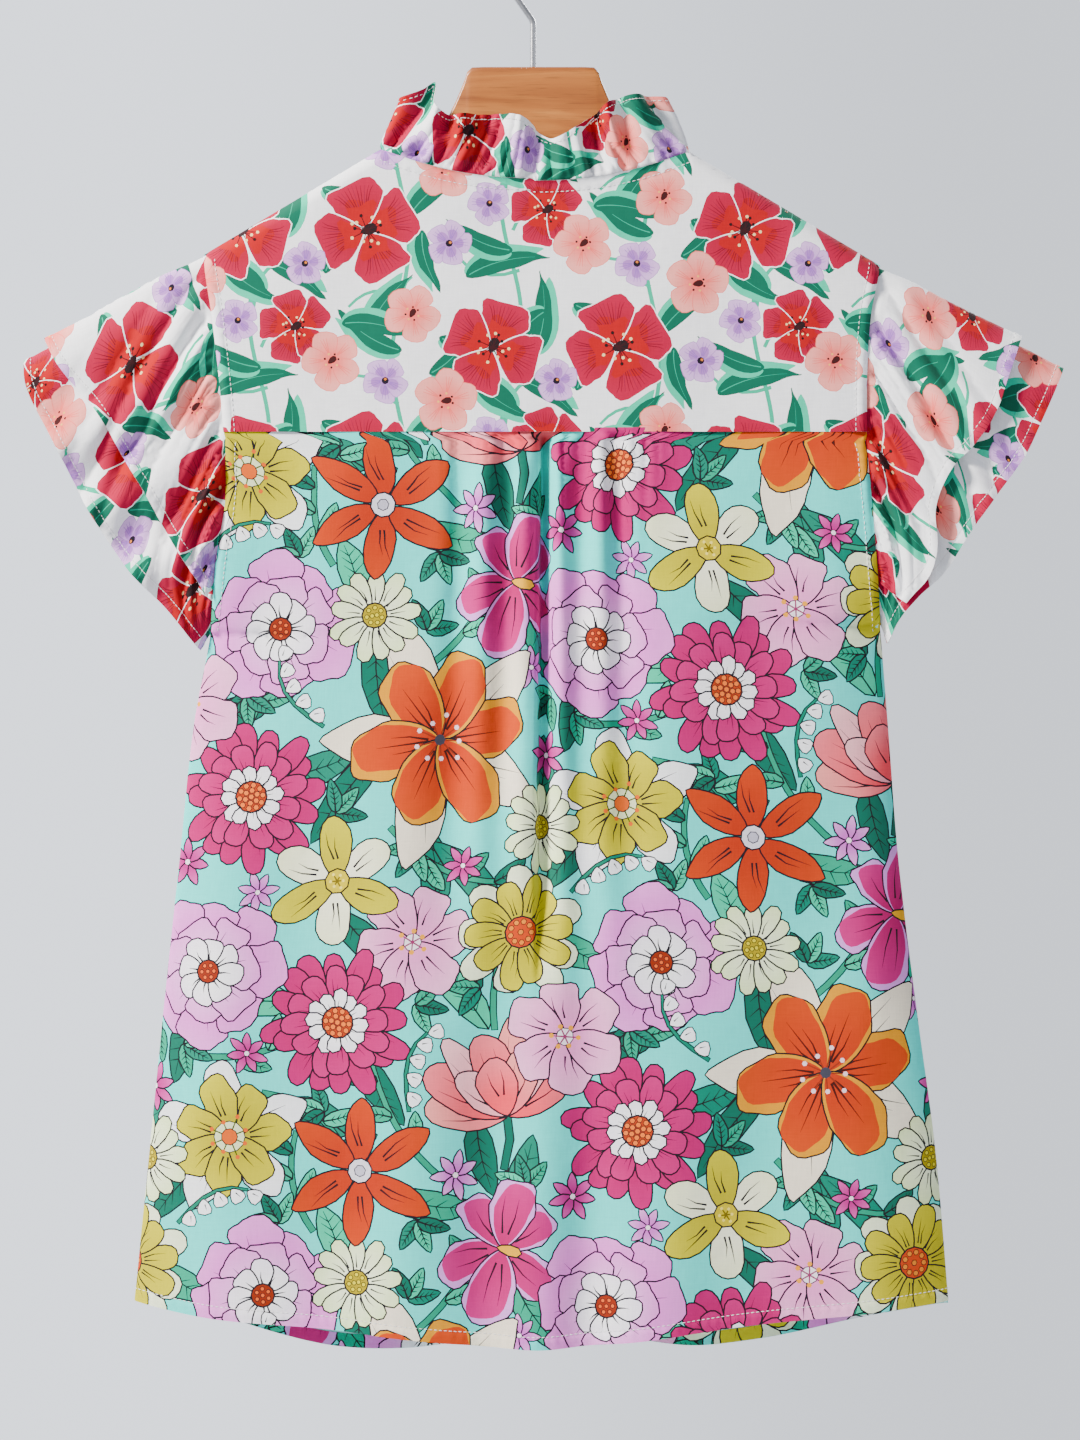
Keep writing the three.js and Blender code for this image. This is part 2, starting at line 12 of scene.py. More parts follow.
import bpy
import numpy as np
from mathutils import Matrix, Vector
from mathutils.bvhtree import BVHTree
from mathutils.kdtree import KDTree
from mathutils.geometry import delaunay_2d_cdt


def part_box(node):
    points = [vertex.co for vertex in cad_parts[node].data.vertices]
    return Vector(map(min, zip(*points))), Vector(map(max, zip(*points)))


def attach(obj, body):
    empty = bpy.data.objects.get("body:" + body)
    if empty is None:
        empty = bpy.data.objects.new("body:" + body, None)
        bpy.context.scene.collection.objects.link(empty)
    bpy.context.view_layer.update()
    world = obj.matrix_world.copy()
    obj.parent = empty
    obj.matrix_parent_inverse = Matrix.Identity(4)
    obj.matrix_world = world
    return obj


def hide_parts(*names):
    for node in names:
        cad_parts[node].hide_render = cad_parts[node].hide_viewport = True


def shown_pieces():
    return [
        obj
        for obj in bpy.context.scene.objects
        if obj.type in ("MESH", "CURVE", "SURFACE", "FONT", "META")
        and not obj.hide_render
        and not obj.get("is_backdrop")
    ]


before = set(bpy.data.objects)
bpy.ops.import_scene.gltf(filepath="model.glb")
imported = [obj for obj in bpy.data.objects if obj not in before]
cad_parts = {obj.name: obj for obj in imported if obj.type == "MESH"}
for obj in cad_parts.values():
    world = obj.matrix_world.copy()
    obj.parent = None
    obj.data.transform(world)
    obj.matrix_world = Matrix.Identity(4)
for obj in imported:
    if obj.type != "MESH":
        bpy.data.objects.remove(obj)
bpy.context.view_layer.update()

# %% [markdown]
# ## Units and small helpers
#
# Garments are measured in millimetres, Blender works in metres. Everything below is worked out
# in millimetres and turned to metres when a mesh is made. Colours are written as sRGB hex
# values, as on a colour card, and one function turns them to the linear values a shader needs.

# %% Colour, mesh and node helpers
MM = 0.001


def hex_colour(code):
    """Linear red, green, blue and alpha of an sRGB hex colour."""
    values = [int(code[i : i + 2], 16) / 255 for i in (0, 2, 4)]
    return [v / 12.92 if v <= 0.04045 else ((v + 0.055) / 1.055) ** 2.4 for v in values] + [1.0]


def add_node(tree, kind, inputs=None, **settings):
    """Add a node, set its settings, and link or set its inputs."""
    node = tree.nodes.new(kind)
    for name, value in settings.items():
        setattr(node, name, value)
    for name, value in (inputs or {}).items():
        if isinstance(value, bpy.types.NodeSocket):
            tree.links.new(value, node.inputs[name])
        else:
            node.inputs[name].default_value = value
    return node


def new_material(name):
    """An empty node material with its shader and output."""
    material = bpy.data.materials.new(name)
    material.use_nodes = True
    tree = material.node_tree
    return material, tree, tree.nodes["Principled BSDF"]


def new_piece(name, points, faces, *materials):
    """A mesh object from points in millimetres, at the origin."""
    mesh = bpy.data.meshes.new(name)
    mesh.from_pydata((np.asarray(points) * MM).tolist(), [], faces)
    piece = bpy.data.objects.new(name, mesh)
    bpy.context.scene.collection.objects.link(piece)
    for material in materials:
        mesh.materials.append(material)
    mesh.update()
    return piece


def apply_modifiers(piece):
    """Make a piece's modifiers part of its mesh."""
    bpy.ops.object.select_all(action="DESELECT")
    piece.select_set(True)
    bpy.context.view_layer.objects.active = piece
    for modifier in list(piece.modifiers):
        bpy.ops.object.modifier_apply(modifier=modifier.name)


# %% [markdown]
# ## Camera, light and floor
#
# The photo was taken straight on at the height of the chest. One pixel is 0.6 mm on the mid
# plane of the blouse, so the frame of 1080 by 1440 is 648 by 864 mm there. A long lens keeps the
# garment's outline free of perspective. The main light is a soft panel at the upper left, with a
# weak one at the right, and one behind, so that the blouse's front is lit too. The room is pale
# behind the blouse and dimmer on the camera's side, so that the folds keep their shade.

# %% Camera, light and floor
PIXEL = 0.6  # millimetres of blouse for one pixel of the photo
FRAME_HEIGHT = 1440 * PIXEL
FRAME_CENTRE_X, FRAME_CENTRE_Z = 4.2, -480.2
LENS, SENSOR = 85, 36
FLOOR_Z = -1400

camera_data = bpy.data.cameras.new("camera")
camera_data.lens, camera_data.sensor_width = LENS, SENSOR
camera = bpy.data.objects.new("camera", camera_data)
camera_distance = FRAME_HEIGHT * LENS / SENSOR
camera.location = (FRAME_CENTRE_X * MM, -camera_distance * MM, FRAME_CENTRE_Z * MM)
camera.rotation_euler = (math.pi / 2, 0, 0)
bpy.context.scene.collection.objects.link(camera)
bpy.context.scene.camera = camera


def soft_light(name, place, aim, size, watts, colour):
    """A square area light at a place in metres, turned to face a point."""
    data = bpy.data.lights.new(name, "AREA")
    data.size, data.energy, data.color = size, watts, hex_colour(colour)[:3]
    light = bpy.data.objects.new(name, data)
    light.location = place
    light.rotation_euler = (Vector(aim) - Vector(place)).to_track_quat("-Z", "Y").to_euler()
    bpy.context.scene.collection.objects.link(light)


CHEST = (0, 0, FRAME_CENTRE_Z * MM)
soft_light("key_light", (-2.0, -1.15, 1.1), CHEST, 0.55, 240, "FFFBF5")
soft_light("fill_light", (1.7, -1.9, -0.2), CHEST, 1.6, 10, "F1F5FF")
soft_light("back_light", (1.4, 1.9, 0.9), CHEST, 0.9, 62, "FFFFFF")

world = bpy.data.worlds.new("studio")
world.use_nodes = True
room = world.node_tree
seen_way = add_node(room, "ShaderNodeTexCoord").outputs["Generated"]
way = add_node(room, "ShaderNodeSeparateXYZ", {"Vector": seen_way})
ahead = {"Value": way.outputs["Y"], "From Min": -0.2, "From Max": 0.5, "To Min": 0.84, "To Max": 2.35}
bright = add_node(room, "ShaderNodeMapRange", ahead, interpolation_type="SMOOTHSTEP")
across = {"Value": way.outputs["X"], "From Min": -0.14, "From Max": 0.14}
across |= {"To Min": 1.12, "To Max": 0.72}
fade = add_node(room, "ShaderNodeMapRange", across, interpolation_type="SMOOTHSTEP")
both = {0: bright.outputs["Result"], 1: fade.outputs["Result"]}
strength = add_node(room, "ShaderNodeMath", both, operation="MULTIPLY")
room.nodes["Background"].inputs["Color"].default_value = hex_colour("CFD4DD")
room.links.new(strength.outputs["Value"], room.nodes["Background"].inputs["Strength"])
bpy.context.scene.world = world

FLOOR_RADIUS = 1.1  # metres
bpy.ops.mesh.primitive_circle_add(
    vertices=96, radius=FLOOR_RADIUS, fill_type="NGON", location=(0, 0, FLOOR_Z * MM)
)
floor = bpy.context.object
floor.name = "floor"
floor_paint, _, floor_shader = new_material("pale matt floor paint")
floor_shader.inputs["Base Color"].default_value = hex_colour("D9DCE0")
floor_shader.inputs["Roughness"].default_value = 0.9
floor.data.materials.append(floor_paint)
floor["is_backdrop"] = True

# %% [markdown]
# ## The garment's form
#
# These are the blouse's own sizes, in millimetres, with the origin at the crown of the hook.
# Each table is a ruler laid along the garment: a few rows, read smoothly between them. The same
# sizes made the frame's solids, so the shells below lie on them.

# %% Sizes of the blouse
def table(columns, *rows):
    """Rows of numbers under their column names."""
    return [dict(zip(columns.split(), row)) for row in rows]


SHOULDER = dict(neck_x=92, neck_z=-138.5, slope=0.597, roll=10)
NECK = dict(middle=1.2, half_width=93, half_depth=13, back_drop=18.8, front_drop=74)
NECK_ENDS = (-91.8, 94.2)  # where the neckline meets the shoulders
SPLIT = dict(middle=5, half_width=10, bottom=-342)
YOKE_SEAM = -308.4
CENTRE = 5.0  # centre back and centre front

BODY = table(
    "z left right depth",
    (-137, -196.8, 208.2, 10.5),
    (-204, -196.8, 208.2, 11.5),
    (-240, -191.5, 201.5, 12.5),
    (-309, -184.5, 199.2, 14),
    (-348, -183.5, 202.2, 15.5),
    (-384, -189, 205, 16.5),
    (-430, -193.5, 208.5, 18),
    (-480, -202.8, 212.5, 19.5),
    (-564, -211.8, 219, 21),
    (-648, -220.8, 229.2, 22),
    (-738, -229.8, 241.2, 23),
    (-828, -238.8, 249, 24),
)
HEM_SIDE = -828
HEM = table(
    "x back front",
    (-239, -828, -828),
    (-200, -835, -838),
    (-160, -839, -850),
    (-115, -843, -860),
    (-78, -847, -862),
    (-38, -851, -857),
    (5, -853.5, -852),
    (50, -850, -855),
    (95, -844, -860),
    (130, -840, -856),
    (190, -834, -844),
    (249, -828, -830),
)
ARMHOLE = dict(left=-430, right=-424, half_depth=12.5, edge=0.35)

# Folds that fall from the gathers. A negative lift is a trough.
BACK_FOLDS = table(
    "x x_low width width_low lift lift_low end",
    (-41, -52, 6, 16, -3.2, -1.5, -640),
    (-29, -34, 6, 14, 2.4, 2.5, -700),
    (-14, -16, 6, 13, -2.4, -1.5, -560),
    (-5, -8, 5, 10, 2.6, 3, -640),
    (15, 17, 5, 12, 3, 3, -690),
    (29, 30, 6, 14, -2.4, -1.2, -560),
    (39, 44, 6, 14, 2.2, 2.2, -700),
    (49, 58, 6, 15, -3.2, -2, -620),
)
HEM_FOLDS = table(
    "x width lift",
    (-185, 24, 3),
    (-130, 30, -2.5),
    (-78, 26, 3.5),
    (-29, 17, -4),
    (5, 18, 4),
    (33, 15, -4),
    (80, 28, 3),
    (140, 30, -2.5),
    (200, 24, 3),
)


# %% Reading the tables
def read(table, key, at, column):
    """Smooth reading of one column of a table, at one place or many."""
    keys = np.array([row[key] for row in table], float)
    values = np.array([row[column] for row in table], float)
    if keys[0] > keys[-1]:
        keys, values = keys[::-1], values[::-1]
    slope = np.diff(values) / np.diff(keys)
    tangent = np.concatenate([slope[:1], (slope[1:] + slope[:-1]) / 2, slope[-1:]])
    i = np.clip(np.searchsorted(keys, at), 1, len(keys) - 1)
    span = keys[i] - keys[i - 1]
    t = np.clip((at - keys[i - 1]) / span, 0, 1)
    u = 1 - t
    return (
        values[i - 1] * (1 + 2 * t) * u * u
        + values[i] * (3 - 2 * t) * t * t
        + tangent[i - 1] * span * t * u * u
        - tangent[i] * span * t * t * u
    )


def bell(t):
    return np.exp(-t * t)


def ease(t):
    t = np.clip(t, 0, 1)
    return t * t * (3 - 2 * t)


def lerp(a, b, t):
    return a + (b - a) * t


def run_length(steps):
    """Length along a line at each of its points, from the lengths of its steps."""
    return np.concatenate([[0], np.cumsum(steps)])


def unit(vectors, least=1e-9):
    """Vectors of length one. Those shorter than the least stay shorter."""
    return vectors / np.maximum(np.linalg.norm(vectors, axis=1, keepdims=True), least)


# %% [markdown]
# ## Forms of the body
#
# Seen from above, the body is a flat lens: the back and the front meet at the side seams and
# stand furthest apart in the middle. Over the shoulders the cloth rolls over the hanger's arm in
# a quarter circle. Folds are added to that plain form as soft troughs and ridges.

# %% Body forms
def ridge_z(x):
    return SHOULDER["neck_z"] - SHOULDER["slope"] * (np.abs(x) - SHOULDER["neck_x"])


def neck_share(x):
    return np.minimum(1, np.abs((x - NECK["middle"]) / NECK["half_width"]))


def neck_depth(x):
    return NECK["half_depth"] * np.sqrt(1 - neck_share(x) ** 8)


def neck_z(x, drop, power):
    corner = NECK["middle"] + np.sign(x - NECK["middle"]) * NECK["half_width"]
    return ridge_z(corner) - drop * (1 - neck_share(x) ** power)


def back_top(x):
    return np.where(neck_share(x) < 1, neck_z(x, NECK["back_drop"], 2.2), ridge_z(x))


def front_top(x):
    neck = neck_z(x, NECK["front_drop"], 2)
    into_split = 1 - np.abs(x - SPLIT["middle"]) / SPLIT["half_width"]
    neck = np.where(into_split > 0, lerp(neck, SPLIT["bottom"], into_split), neck)
    return np.where(neck_share(x) < 1, neck, ridge_z(x))


def left_edge(z):
    return read(BODY, "z", z, "left")


def right_edge(z):
    return read(BODY, "z", z, "right")


def from_side(x, z):
    """Distance from the nearer side edge."""
    return np.minimum(x - left_edge(z), right_edge(z) - x)


SHOULDER_EDGE = 0.15  # how far the cloth stands off the mid plane on the shoulder's ridge


def body_depth(x, z, top):
    """How far the cloth stands from the mid plane, without folds."""
    across = np.clip((x - left_edge(z)) / (right_edge(z) - left_edge(z)), 0, 1) * 2 - 1
    under = np.where(across < 0, ARMHOLE["left"], ARMHOLE["right"])
    q = np.clip((top - z) / (top - under), 0, 1)
    open_share = np.sqrt(1 - (2 * q - 1) ** 6)
    edge = ARMHOLE["edge"] + (ARMHOLE["half_depth"] - ARMHOLE["edge"]) * open_share
    full = read(BODY, "z", z, "depth")
    depth = edge + (full - edge) * (1 - np.abs(across) ** 3) ** 0.55
    top_depth = np.where(neck_share(x) < 1, neck_depth(x), SHOULDER_EDGE)
    below = np.clip((top - z) / SHOULDER["roll"], 0, 1)
    return top_depth + (depth - top_depth) * np.sqrt(1 - (1 - below) ** 2)


# %% Folds of the body
GATHER_FROM, GATHER_TO = -62, 84  # the gathered part of the yoke's seam
GATHER_REACH, GATHER_HEIGHT, GATHER_FADE = 17, 1.15, 14
FOLD_HEIGHT = 1.5  # the long folds are this many times as high as their table says


def pleats(turns):
    """Rounded ridges with sharp valleys between them, one for each turn."""
    return np.abs(np.cos(np.pi * turns)) - 0.64


def gathers(along, out, reach, seed=0.0):
    """Fine gathers below a seam: uneven puckers that run out at different lengths."""
    fine = pleats(along / 7.9 + 0.2 * np.sin(along / 11 + seed))
    broad = pleats(along / 14.3 + 0.3 * np.sin(along / 19 + 2 * seed))
    length = reach * (1 + 0.45 * np.sin(along / 8.3 + seed))
    return fine * np.exp(-out / length) + 1.4 * broad * np.exp(-out / (1.9 * length))


TUCK = dict(x=5.4, x_low=3.5, depth=11, depth_low=7, left=1.1, right=5.5, end=-655)


def folds_of_back(x, z):
    """Long folds from the gathers, the tuck at the centre and the fine gathers themselves."""
    lift = np.zeros_like(x)
    for fold in BACK_FOLDS:
        t = np.clip((YOKE_SEAM - z) / (YOKE_SEAM - fold["end"]), 0, 1)
        centre = lerp(fold["x"], fold["x_low"], t)
        width = lerp(fold["width"], fold["width_low"], t)
        height = lerp(fold["lift"], fold["lift_low"], t) * (1 - ease((t - 0.7) / 0.3))
        lift += FOLD_HEIGHT * height * bell((x - centre) / width)
    lift *= 0.45 + 0.55 * ease((YOKE_SEAM - z) / 40)
    t = np.clip((YOKE_SEAM - z) / (YOKE_SEAM - TUCK["end"]), 0, 1)
    aside = x - lerp(TUCK["x"], TUCK["x_low"], t)
    wall = np.where(aside < 0, TUCK["left"], TUCK["right"]) * (1 + 1.2 * t)
    ending = 1 - ease((t - 0.75) / 0.25)
    lift -= lerp(TUCK["depth"], TUCK["depth_low"], t) * ending * bell(aside / wall)
    inside = ease((x - GATHER_FROM) / GATHER_FADE) * ease((GATHER_TO - x) / GATHER_FADE)
    lift += GATHER_HEIGHT * inside * gathers(x, np.maximum(0, YOKE_SEAM - z), GATHER_REACH)
    return lift * (0.1 + 0.9 * ease((YOKE_SEAM - z) / 5))


HEM_FOLDS_FROM, HEM_FOLDS_FULL = 120, 380  # millimetres below the yoke, and to their full height


def folds_of_hem(x, z):
    grow = ease((YOKE_SEAM - HEM_FOLDS_FROM - z) / HEM_FOLDS_FULL)
    return grow * sum(f["lift"] * bell((x - f["x"]) / f["width"]) for f in HEM_FOLDS)


def slack(x, z, seed):
    """Slow unevenness of hanging cotton: a few long waves that never line up."""
    waves = 0
    for n, (length, angle) in enumerate([(95, 0.35), (67, -0.5), (49, 1.2), (130, 0.1)]):
        along = x * math.cos(angle) + z * math.sin(angle) * 0.5
        waves = waves + np.sin(2 * np.pi * along / length + seed + 1.7 * n)
    return 0.5 * waves


# %% [markdown]
# ## Cloth is flat before it hangs
#
# A print lies flat on the cloth and the cloth is folded afterwards. So every panel is drawn flat
# first, in its own millimetres, and a function then carries each flat point to its place in
# space. On the gathered back the flat width is the length along the folds, so the folds swallow
# parts of the print, as real gathers do.

# %% Stitched edges
EDGE_STITCH, HEM_STITCH, SLEEVE_STITCH, COLLAR_STITCH = 6.6, 7.5, 4.6, 2.8


def stitched_band(distance, along, width):
    """How far a folded and stitched edge stands up, with its small puckers."""
    band = 0.45 * ease((width + 1 - distance) / 2)
    ripple = np.sin(2 * np.pi * along / 6.3 + 1.5 * np.sin(along / 17))
    return band + 0.14 * ripple * bell((distance - width) / (0.45 * width))


def body_bands(x, z, hem):
    """The bands along the armholes and the hem, and the crease where the sleeve joins."""
    left, right = x - left_edge(z), right_edge(z) - x
    aside = np.minimum(left, right)
    under = np.where(left < right, ARMHOLE["left"], ARMHOLE["right"])
    sleeve = ease((z - under) / 6)
    lift = sleeve * (stitched_band(aside, z, EDGE_STITCH) - 1.9 * bell(aside / 2.4))
    if hem:
        lift += stitched_band(z - read(HEM, "x", x, hem), x, HEM_STITCH)
    return lift


def hung_yoke(flat):
    x, z = flat[:, 0], flat[:, 1]
    below = back_top(x) - z
    neck = (1 - neck_share(x) ** 30) * stitched_band(below, x, EDGE_STITCH)
    lift = 0.7 * ease(below / 12) + body_bands(x, z, None) + neck
    loose = 0.5 * slack(x, z, 0.4) * ease(below / 30)
    return np.column_stack([x, -(body_depth(x, z, back_top(x)) + lift + loose), z])


def hung_front(flat):
    x, z = flat[:, 0], flat[:, 1]
    loose = ease((front_top(x) - z) / 40) * ease(from_side(x, z) / 30)
    lift = folds_of_hem(x, z) + slack(x, z, 2.1) * loose + body_bands(x, z, "front")
    return np.column_stack([x, body_depth(x, z, front_top(x)) + lift, z])


def back_y(x, z):
    loose = slack(x, z, 0.9) * ease(from_side(x, z) / 30)
    lift = folds_of_back(x, z) + folds_of_hem(x, z) + loose
    return -(body_depth(x, z, back_top(x)) + lift + body_bands(x, z, "back"))


# %% Flat to hung: the gathered back


class GatheredBack:
    """The back panel, whose flat width is measured along its folds."""

    def __init__(self, top, bottom, step=4, samples=700):
        self.levels = np.arange(bottom - step, top + 2 * step, step, dtype=float)
        self.x_rows, self.flat_rows = [], []
        for z in self.levels:
            x = np.linspace(left_edge(z), right_edge(z), samples)
            y = back_y(x, np.full_like(x, z))
            length = run_length(np.hypot(np.diff(x), np.diff(y)))
            self.x_rows.append(x)
            self.flat_rows.append(length - np.interp(CENTRE, x, length))

    def row_of(self, z):
        """Place of a height among the levels, with its fraction."""
        step = self.levels[1] - self.levels[0]
        return np.clip((z - self.levels[0]) / step, 0, len(self.levels) - 1.001)

    def flat_of(self, x, z):
        """Flat place of a point of the hung panel."""
        row = self.row_of(z)
        low = int(row)
        pair = [np.interp(x, self.x_rows[k], self.flat_rows[k]) for k in (low, low + 1)]
        return lerp(pair[0], pair[1], row - low)

    def __call__(self, flat):
        x = np.zeros(len(flat))
        row = self.row_of(flat[:, 1])
        low = row.astype(int)
        for k in np.unique(low):
            here = low == k
            across = flat[here, 0]
            pair = [np.interp(across, self.flat_rows[n], self.x_rows[n]) for n in (k, k + 1)]
            x[here] = lerp(pair[0], pair[1], row[here] - k)
        return np.column_stack([x, back_y(x, flat[:, 1]), flat[:, 1]])


LOWEST = -862  # the lowest point of the hem
hung_back = GatheredBack(YOKE_SEAM, LOWEST)
seam_row = hung_back.flat_rows[-2]
print("back panel, flat width at the seam", seam_row[-1] - seam_row[0])

# %% [markdown]
# ## Sleeves and collar
#
# Each sleeve is a flutter sleeve of two tiers, gathered into the armhole. Its cloth fans out
# from the armhole to the hem: flat, it is a crescent, and its length round the hem is what the
# gathers take up. The collar is a strip gathered on the neckline that stands up in waves.

# %% Sizes of the sleeves and the collar
SLEEVE_HEM = {
    "left": table(
        "q x z",
        (0, -304.8, -265.4),
        (0.08, -302.5, -281),
        (0.28, -283.8, -318),
        (0.45, -268.8, -348),
        (0.69, -241.8, -390),
        (0.87, -217, -416),
        (1, -200, -438),
    ),
    "right": table(
        "q x z",
        (0, 318, -269.6),
        (0.3, 292.2, -324),
        (0.53, 267, -359),
        (0.74, 243.6, -394),
        (0.84, 230.4, -406.5),
        (0.92, 219, -420),
        (1, 213, -434),
    ),
}
UPPER_REACH = {
    "left": table(
        "q reach",
        (0, 0.86),
        (0.25, 0.72),
        (0.5, 0.62),
        (0.75, 0.46),
        (0.88, 0.22),
    ),
    "right": table(
        "q reach",
        (0, 0.75),
        (0.25, 0.75),
        (0.5, 0.63),
        (0.62, 0.68),
        (0.75, 0.88),
        (0.88, 0.9),
    ),
}
SLEEVE = dict(
    hem_half_depth=15, folds=4.5, fold_base=0.5, fold_hem=4.2, tier_gap=2.5, tier_spread=3.0, reach=110
)
UPPER_END = 0.88  # how far down the armhole the upper tier goes
SLEEVE_SEAM = 0.7  # the seam stands this far outside the body's edge

COLLAR = dict(front_height=36, waves=15, wave=3.6, flare=1.5, lean=0.6)
COLLAR_HEIGHT = table(
    "x height",
    (-92, 33),
    (-85, 41),
    (-79, 48),
    (-72, 37),
    (-64, 32),
    (-42, 34),
    (-20, 37),
    (-6, 35),
    (11, 24),
    (24, 28),
    (38, 35),
    (56, 42),
    (78, 41),
    (94, 37),
)


# %% Flat to hung: a sleeve tier
def down_armhole(around):
    """Share of the way down the armhole for a place around the sleeve."""
    return (1 - np.cos(np.pi * np.abs(around))) / 2


def sleeve_point(hand, around, along, relief=1.0):
    """A point of a sleeve. around runs from -1 over the front, the top fold and the back to 1."""
    side = -1 if hand == "left" else 1
    q = down_armhole(around)
    top = ridge_z(BODY[0][hand]) - SLEEVE["tier_gap"]
    z = lerp(top, ARMHOLE[hand] + 1, q)
    x = read(BODY, "z", z, hand) + side * SLEEVE_SEAM
    open_share = np.sqrt(np.maximum(0, 1 - (2 * q - 1) ** 4))
    half = lerp(ARMHOLE["half_depth"] - SLEEVE["tier_gap"], SLEEVE["hem_half_depth"], along)
    fold = lerp(SLEEVE["fold_base"], SLEEVE["fold_hem"], along) * np.sin(np.pi * q)
    wave = fold * np.sin(2 * np.pi * SLEEVE["folds"] * q)
    out = np.maximum(0, along) * SLEEVE["reach"]
    # Place along the seam, with the front and the back apart. Further out the creases turn down.
    seam = 225 * q + np.where(around > 0, 0, 300) - 0.85 * np.maximum(0, out - 7)
    crease = 6.5 * np.tanh(1.6 * pleats(seam / 29 + 0.32 * np.sin(seam / 31))) * np.exp(-out / 75)
    crease *= 0.75 + 0.45 * np.sin(seam / 17)
    underarm = ease((q - 0.45) / 0.3) * 3.6  # deeper, closer creases low on the armhole
    crease += underarm * pleats(seam / 15.5 + 0.25 * np.sin(seam / 12)) * np.exp(-out / 60)
    gather = np.sin(np.pi * q) ** 0.5 * ease(out / 5) * (1.7 * gathers(seam, out, 17, 1.3) + crease)
    gather = gather * relief
    facing = np.where(around > 0, -1, 1)
    hem = SLEEVE_HEM[hand]
    return np.column_stack([
        lerp(x, read(hem, "q", q, "x"), along),
        facing * (half * open_share + wave + gather * open_share),
        lerp(z, read(hem, "q", q, "z"), along),
    ])


def normals_of(place, points, step):
    """Unit normals of a surface given by a function of two numbers."""
    aside = np.array([[step[0], 0]])
    ahead = np.array([[0, step[1]]])
    across = place(points + aside) - place(points - aside)
    down = place(points + ahead) - place(points - ahead)
    return unit(np.cross(across, down))


class SleeveTier:
    """A tier of a sleeve: flat across is the length along the hem, flat up is the way out."""

    samples = 801
    measured = 0.8  # the share of the way out where the length is taken

    def __init__(self, hand, upper):
        self.hand, self.upper = hand, upper
        self.side = -1 if hand == "left" else 1
        end = math.acos(1 - 2 * UPPER_END) / math.pi if upper else 1.0
        self.around = np.linspace(-end, end, self.samples)
        start, near_hem, finish = (
            sleeve_point(hand, self.around, np.full(self.samples, share))
            for share in (0.0, self.measured, 1.0)
        )
        length = run_length(np.linalg.norm(np.diff(near_hem, axis=0), axis=1))
        self.across = length - np.interp(0, self.around, length)
        self.full = np.hypot(*(finish - start)[:, [0, 2]].T)
        q = down_armhole(self.around)
        self.reach = read(UPPER_REACH[hand], "q", q, "reach") if upper else np.ones(self.samples)

    def edges(self, count=180):
        """Flat lines of the armhole, just inside the body's edge, and of the hem, the other way."""
        across = np.linspace(self.across[0], self.across[-1], count)
        out = np.interp(across, self.across, self.full * self.reach)
        armhole = np.column_stack([across, np.full(count, -3.0)])
        return armhole, np.column_stack([across, out])[::-1]

    def plain(self, shape):
        return sleeve_point(self.hand, shape[:, 0], shape[:, 1], 0.0)

    def __call__(self, flat):
        around = np.interp(flat[:, 0], self.across, self.around)
        full = np.interp(flat[:, 0], self.across, self.full)
        reach = np.interp(flat[:, 0], self.across, self.reach)
        along = flat[:, 1] / full
        points = sleeve_point(self.hand, around, along)
        out = self.side * normals_of(self.plain, np.column_stack([around, along]), (0.01, 0.01))
        lift = stitched_band(full * reach - flat[:, 1], flat[:, 0], SLEEVE_STITCH)
        loose = slack(flat[:, 0], flat[:, 1], 3.3 + self.side)
        lift += (0.6 if self.upper else 0.3) * loose * ease(flat[:, 1] / 40)
        if self.upper:
            share = np.maximum(0, along / reach)
            lift += lerp(0.9, SLEEVE["tier_gap"], ease(share / 0.25)) + SLEEVE["tier_spread"] * share
        return points + out * lift[:, None]


# %% Flat to hung: the collar
def neckline():
    """Points of the neckline from the split's left edge round the back to its right edge."""
    inset = 0.05  # from the very ends, where the curve turns too sharply
    left, right = NECK["middle"] - NECK["half_width"], NECK["middle"] + NECK["half_width"]
    split = [SPLIT["middle"] - SPLIT["half_width"], SPLIT["middle"] + SPLIT["half_width"]]
    t = ease(np.linspace(0, 1, 300))
    points = []
    for start, end, facing in [(split[0], left, 1), (left, right, -1), (right, split[1], 1)]:
        x = np.clip(lerp(start, end, t), left + inset, right - inset)
        z = back_top(x) if facing < 0 else neck_z(x, NECK["front_drop"], 2)
        points.append(np.column_stack([x, facing * neck_depth(x), z]))
    return np.vstack(points)


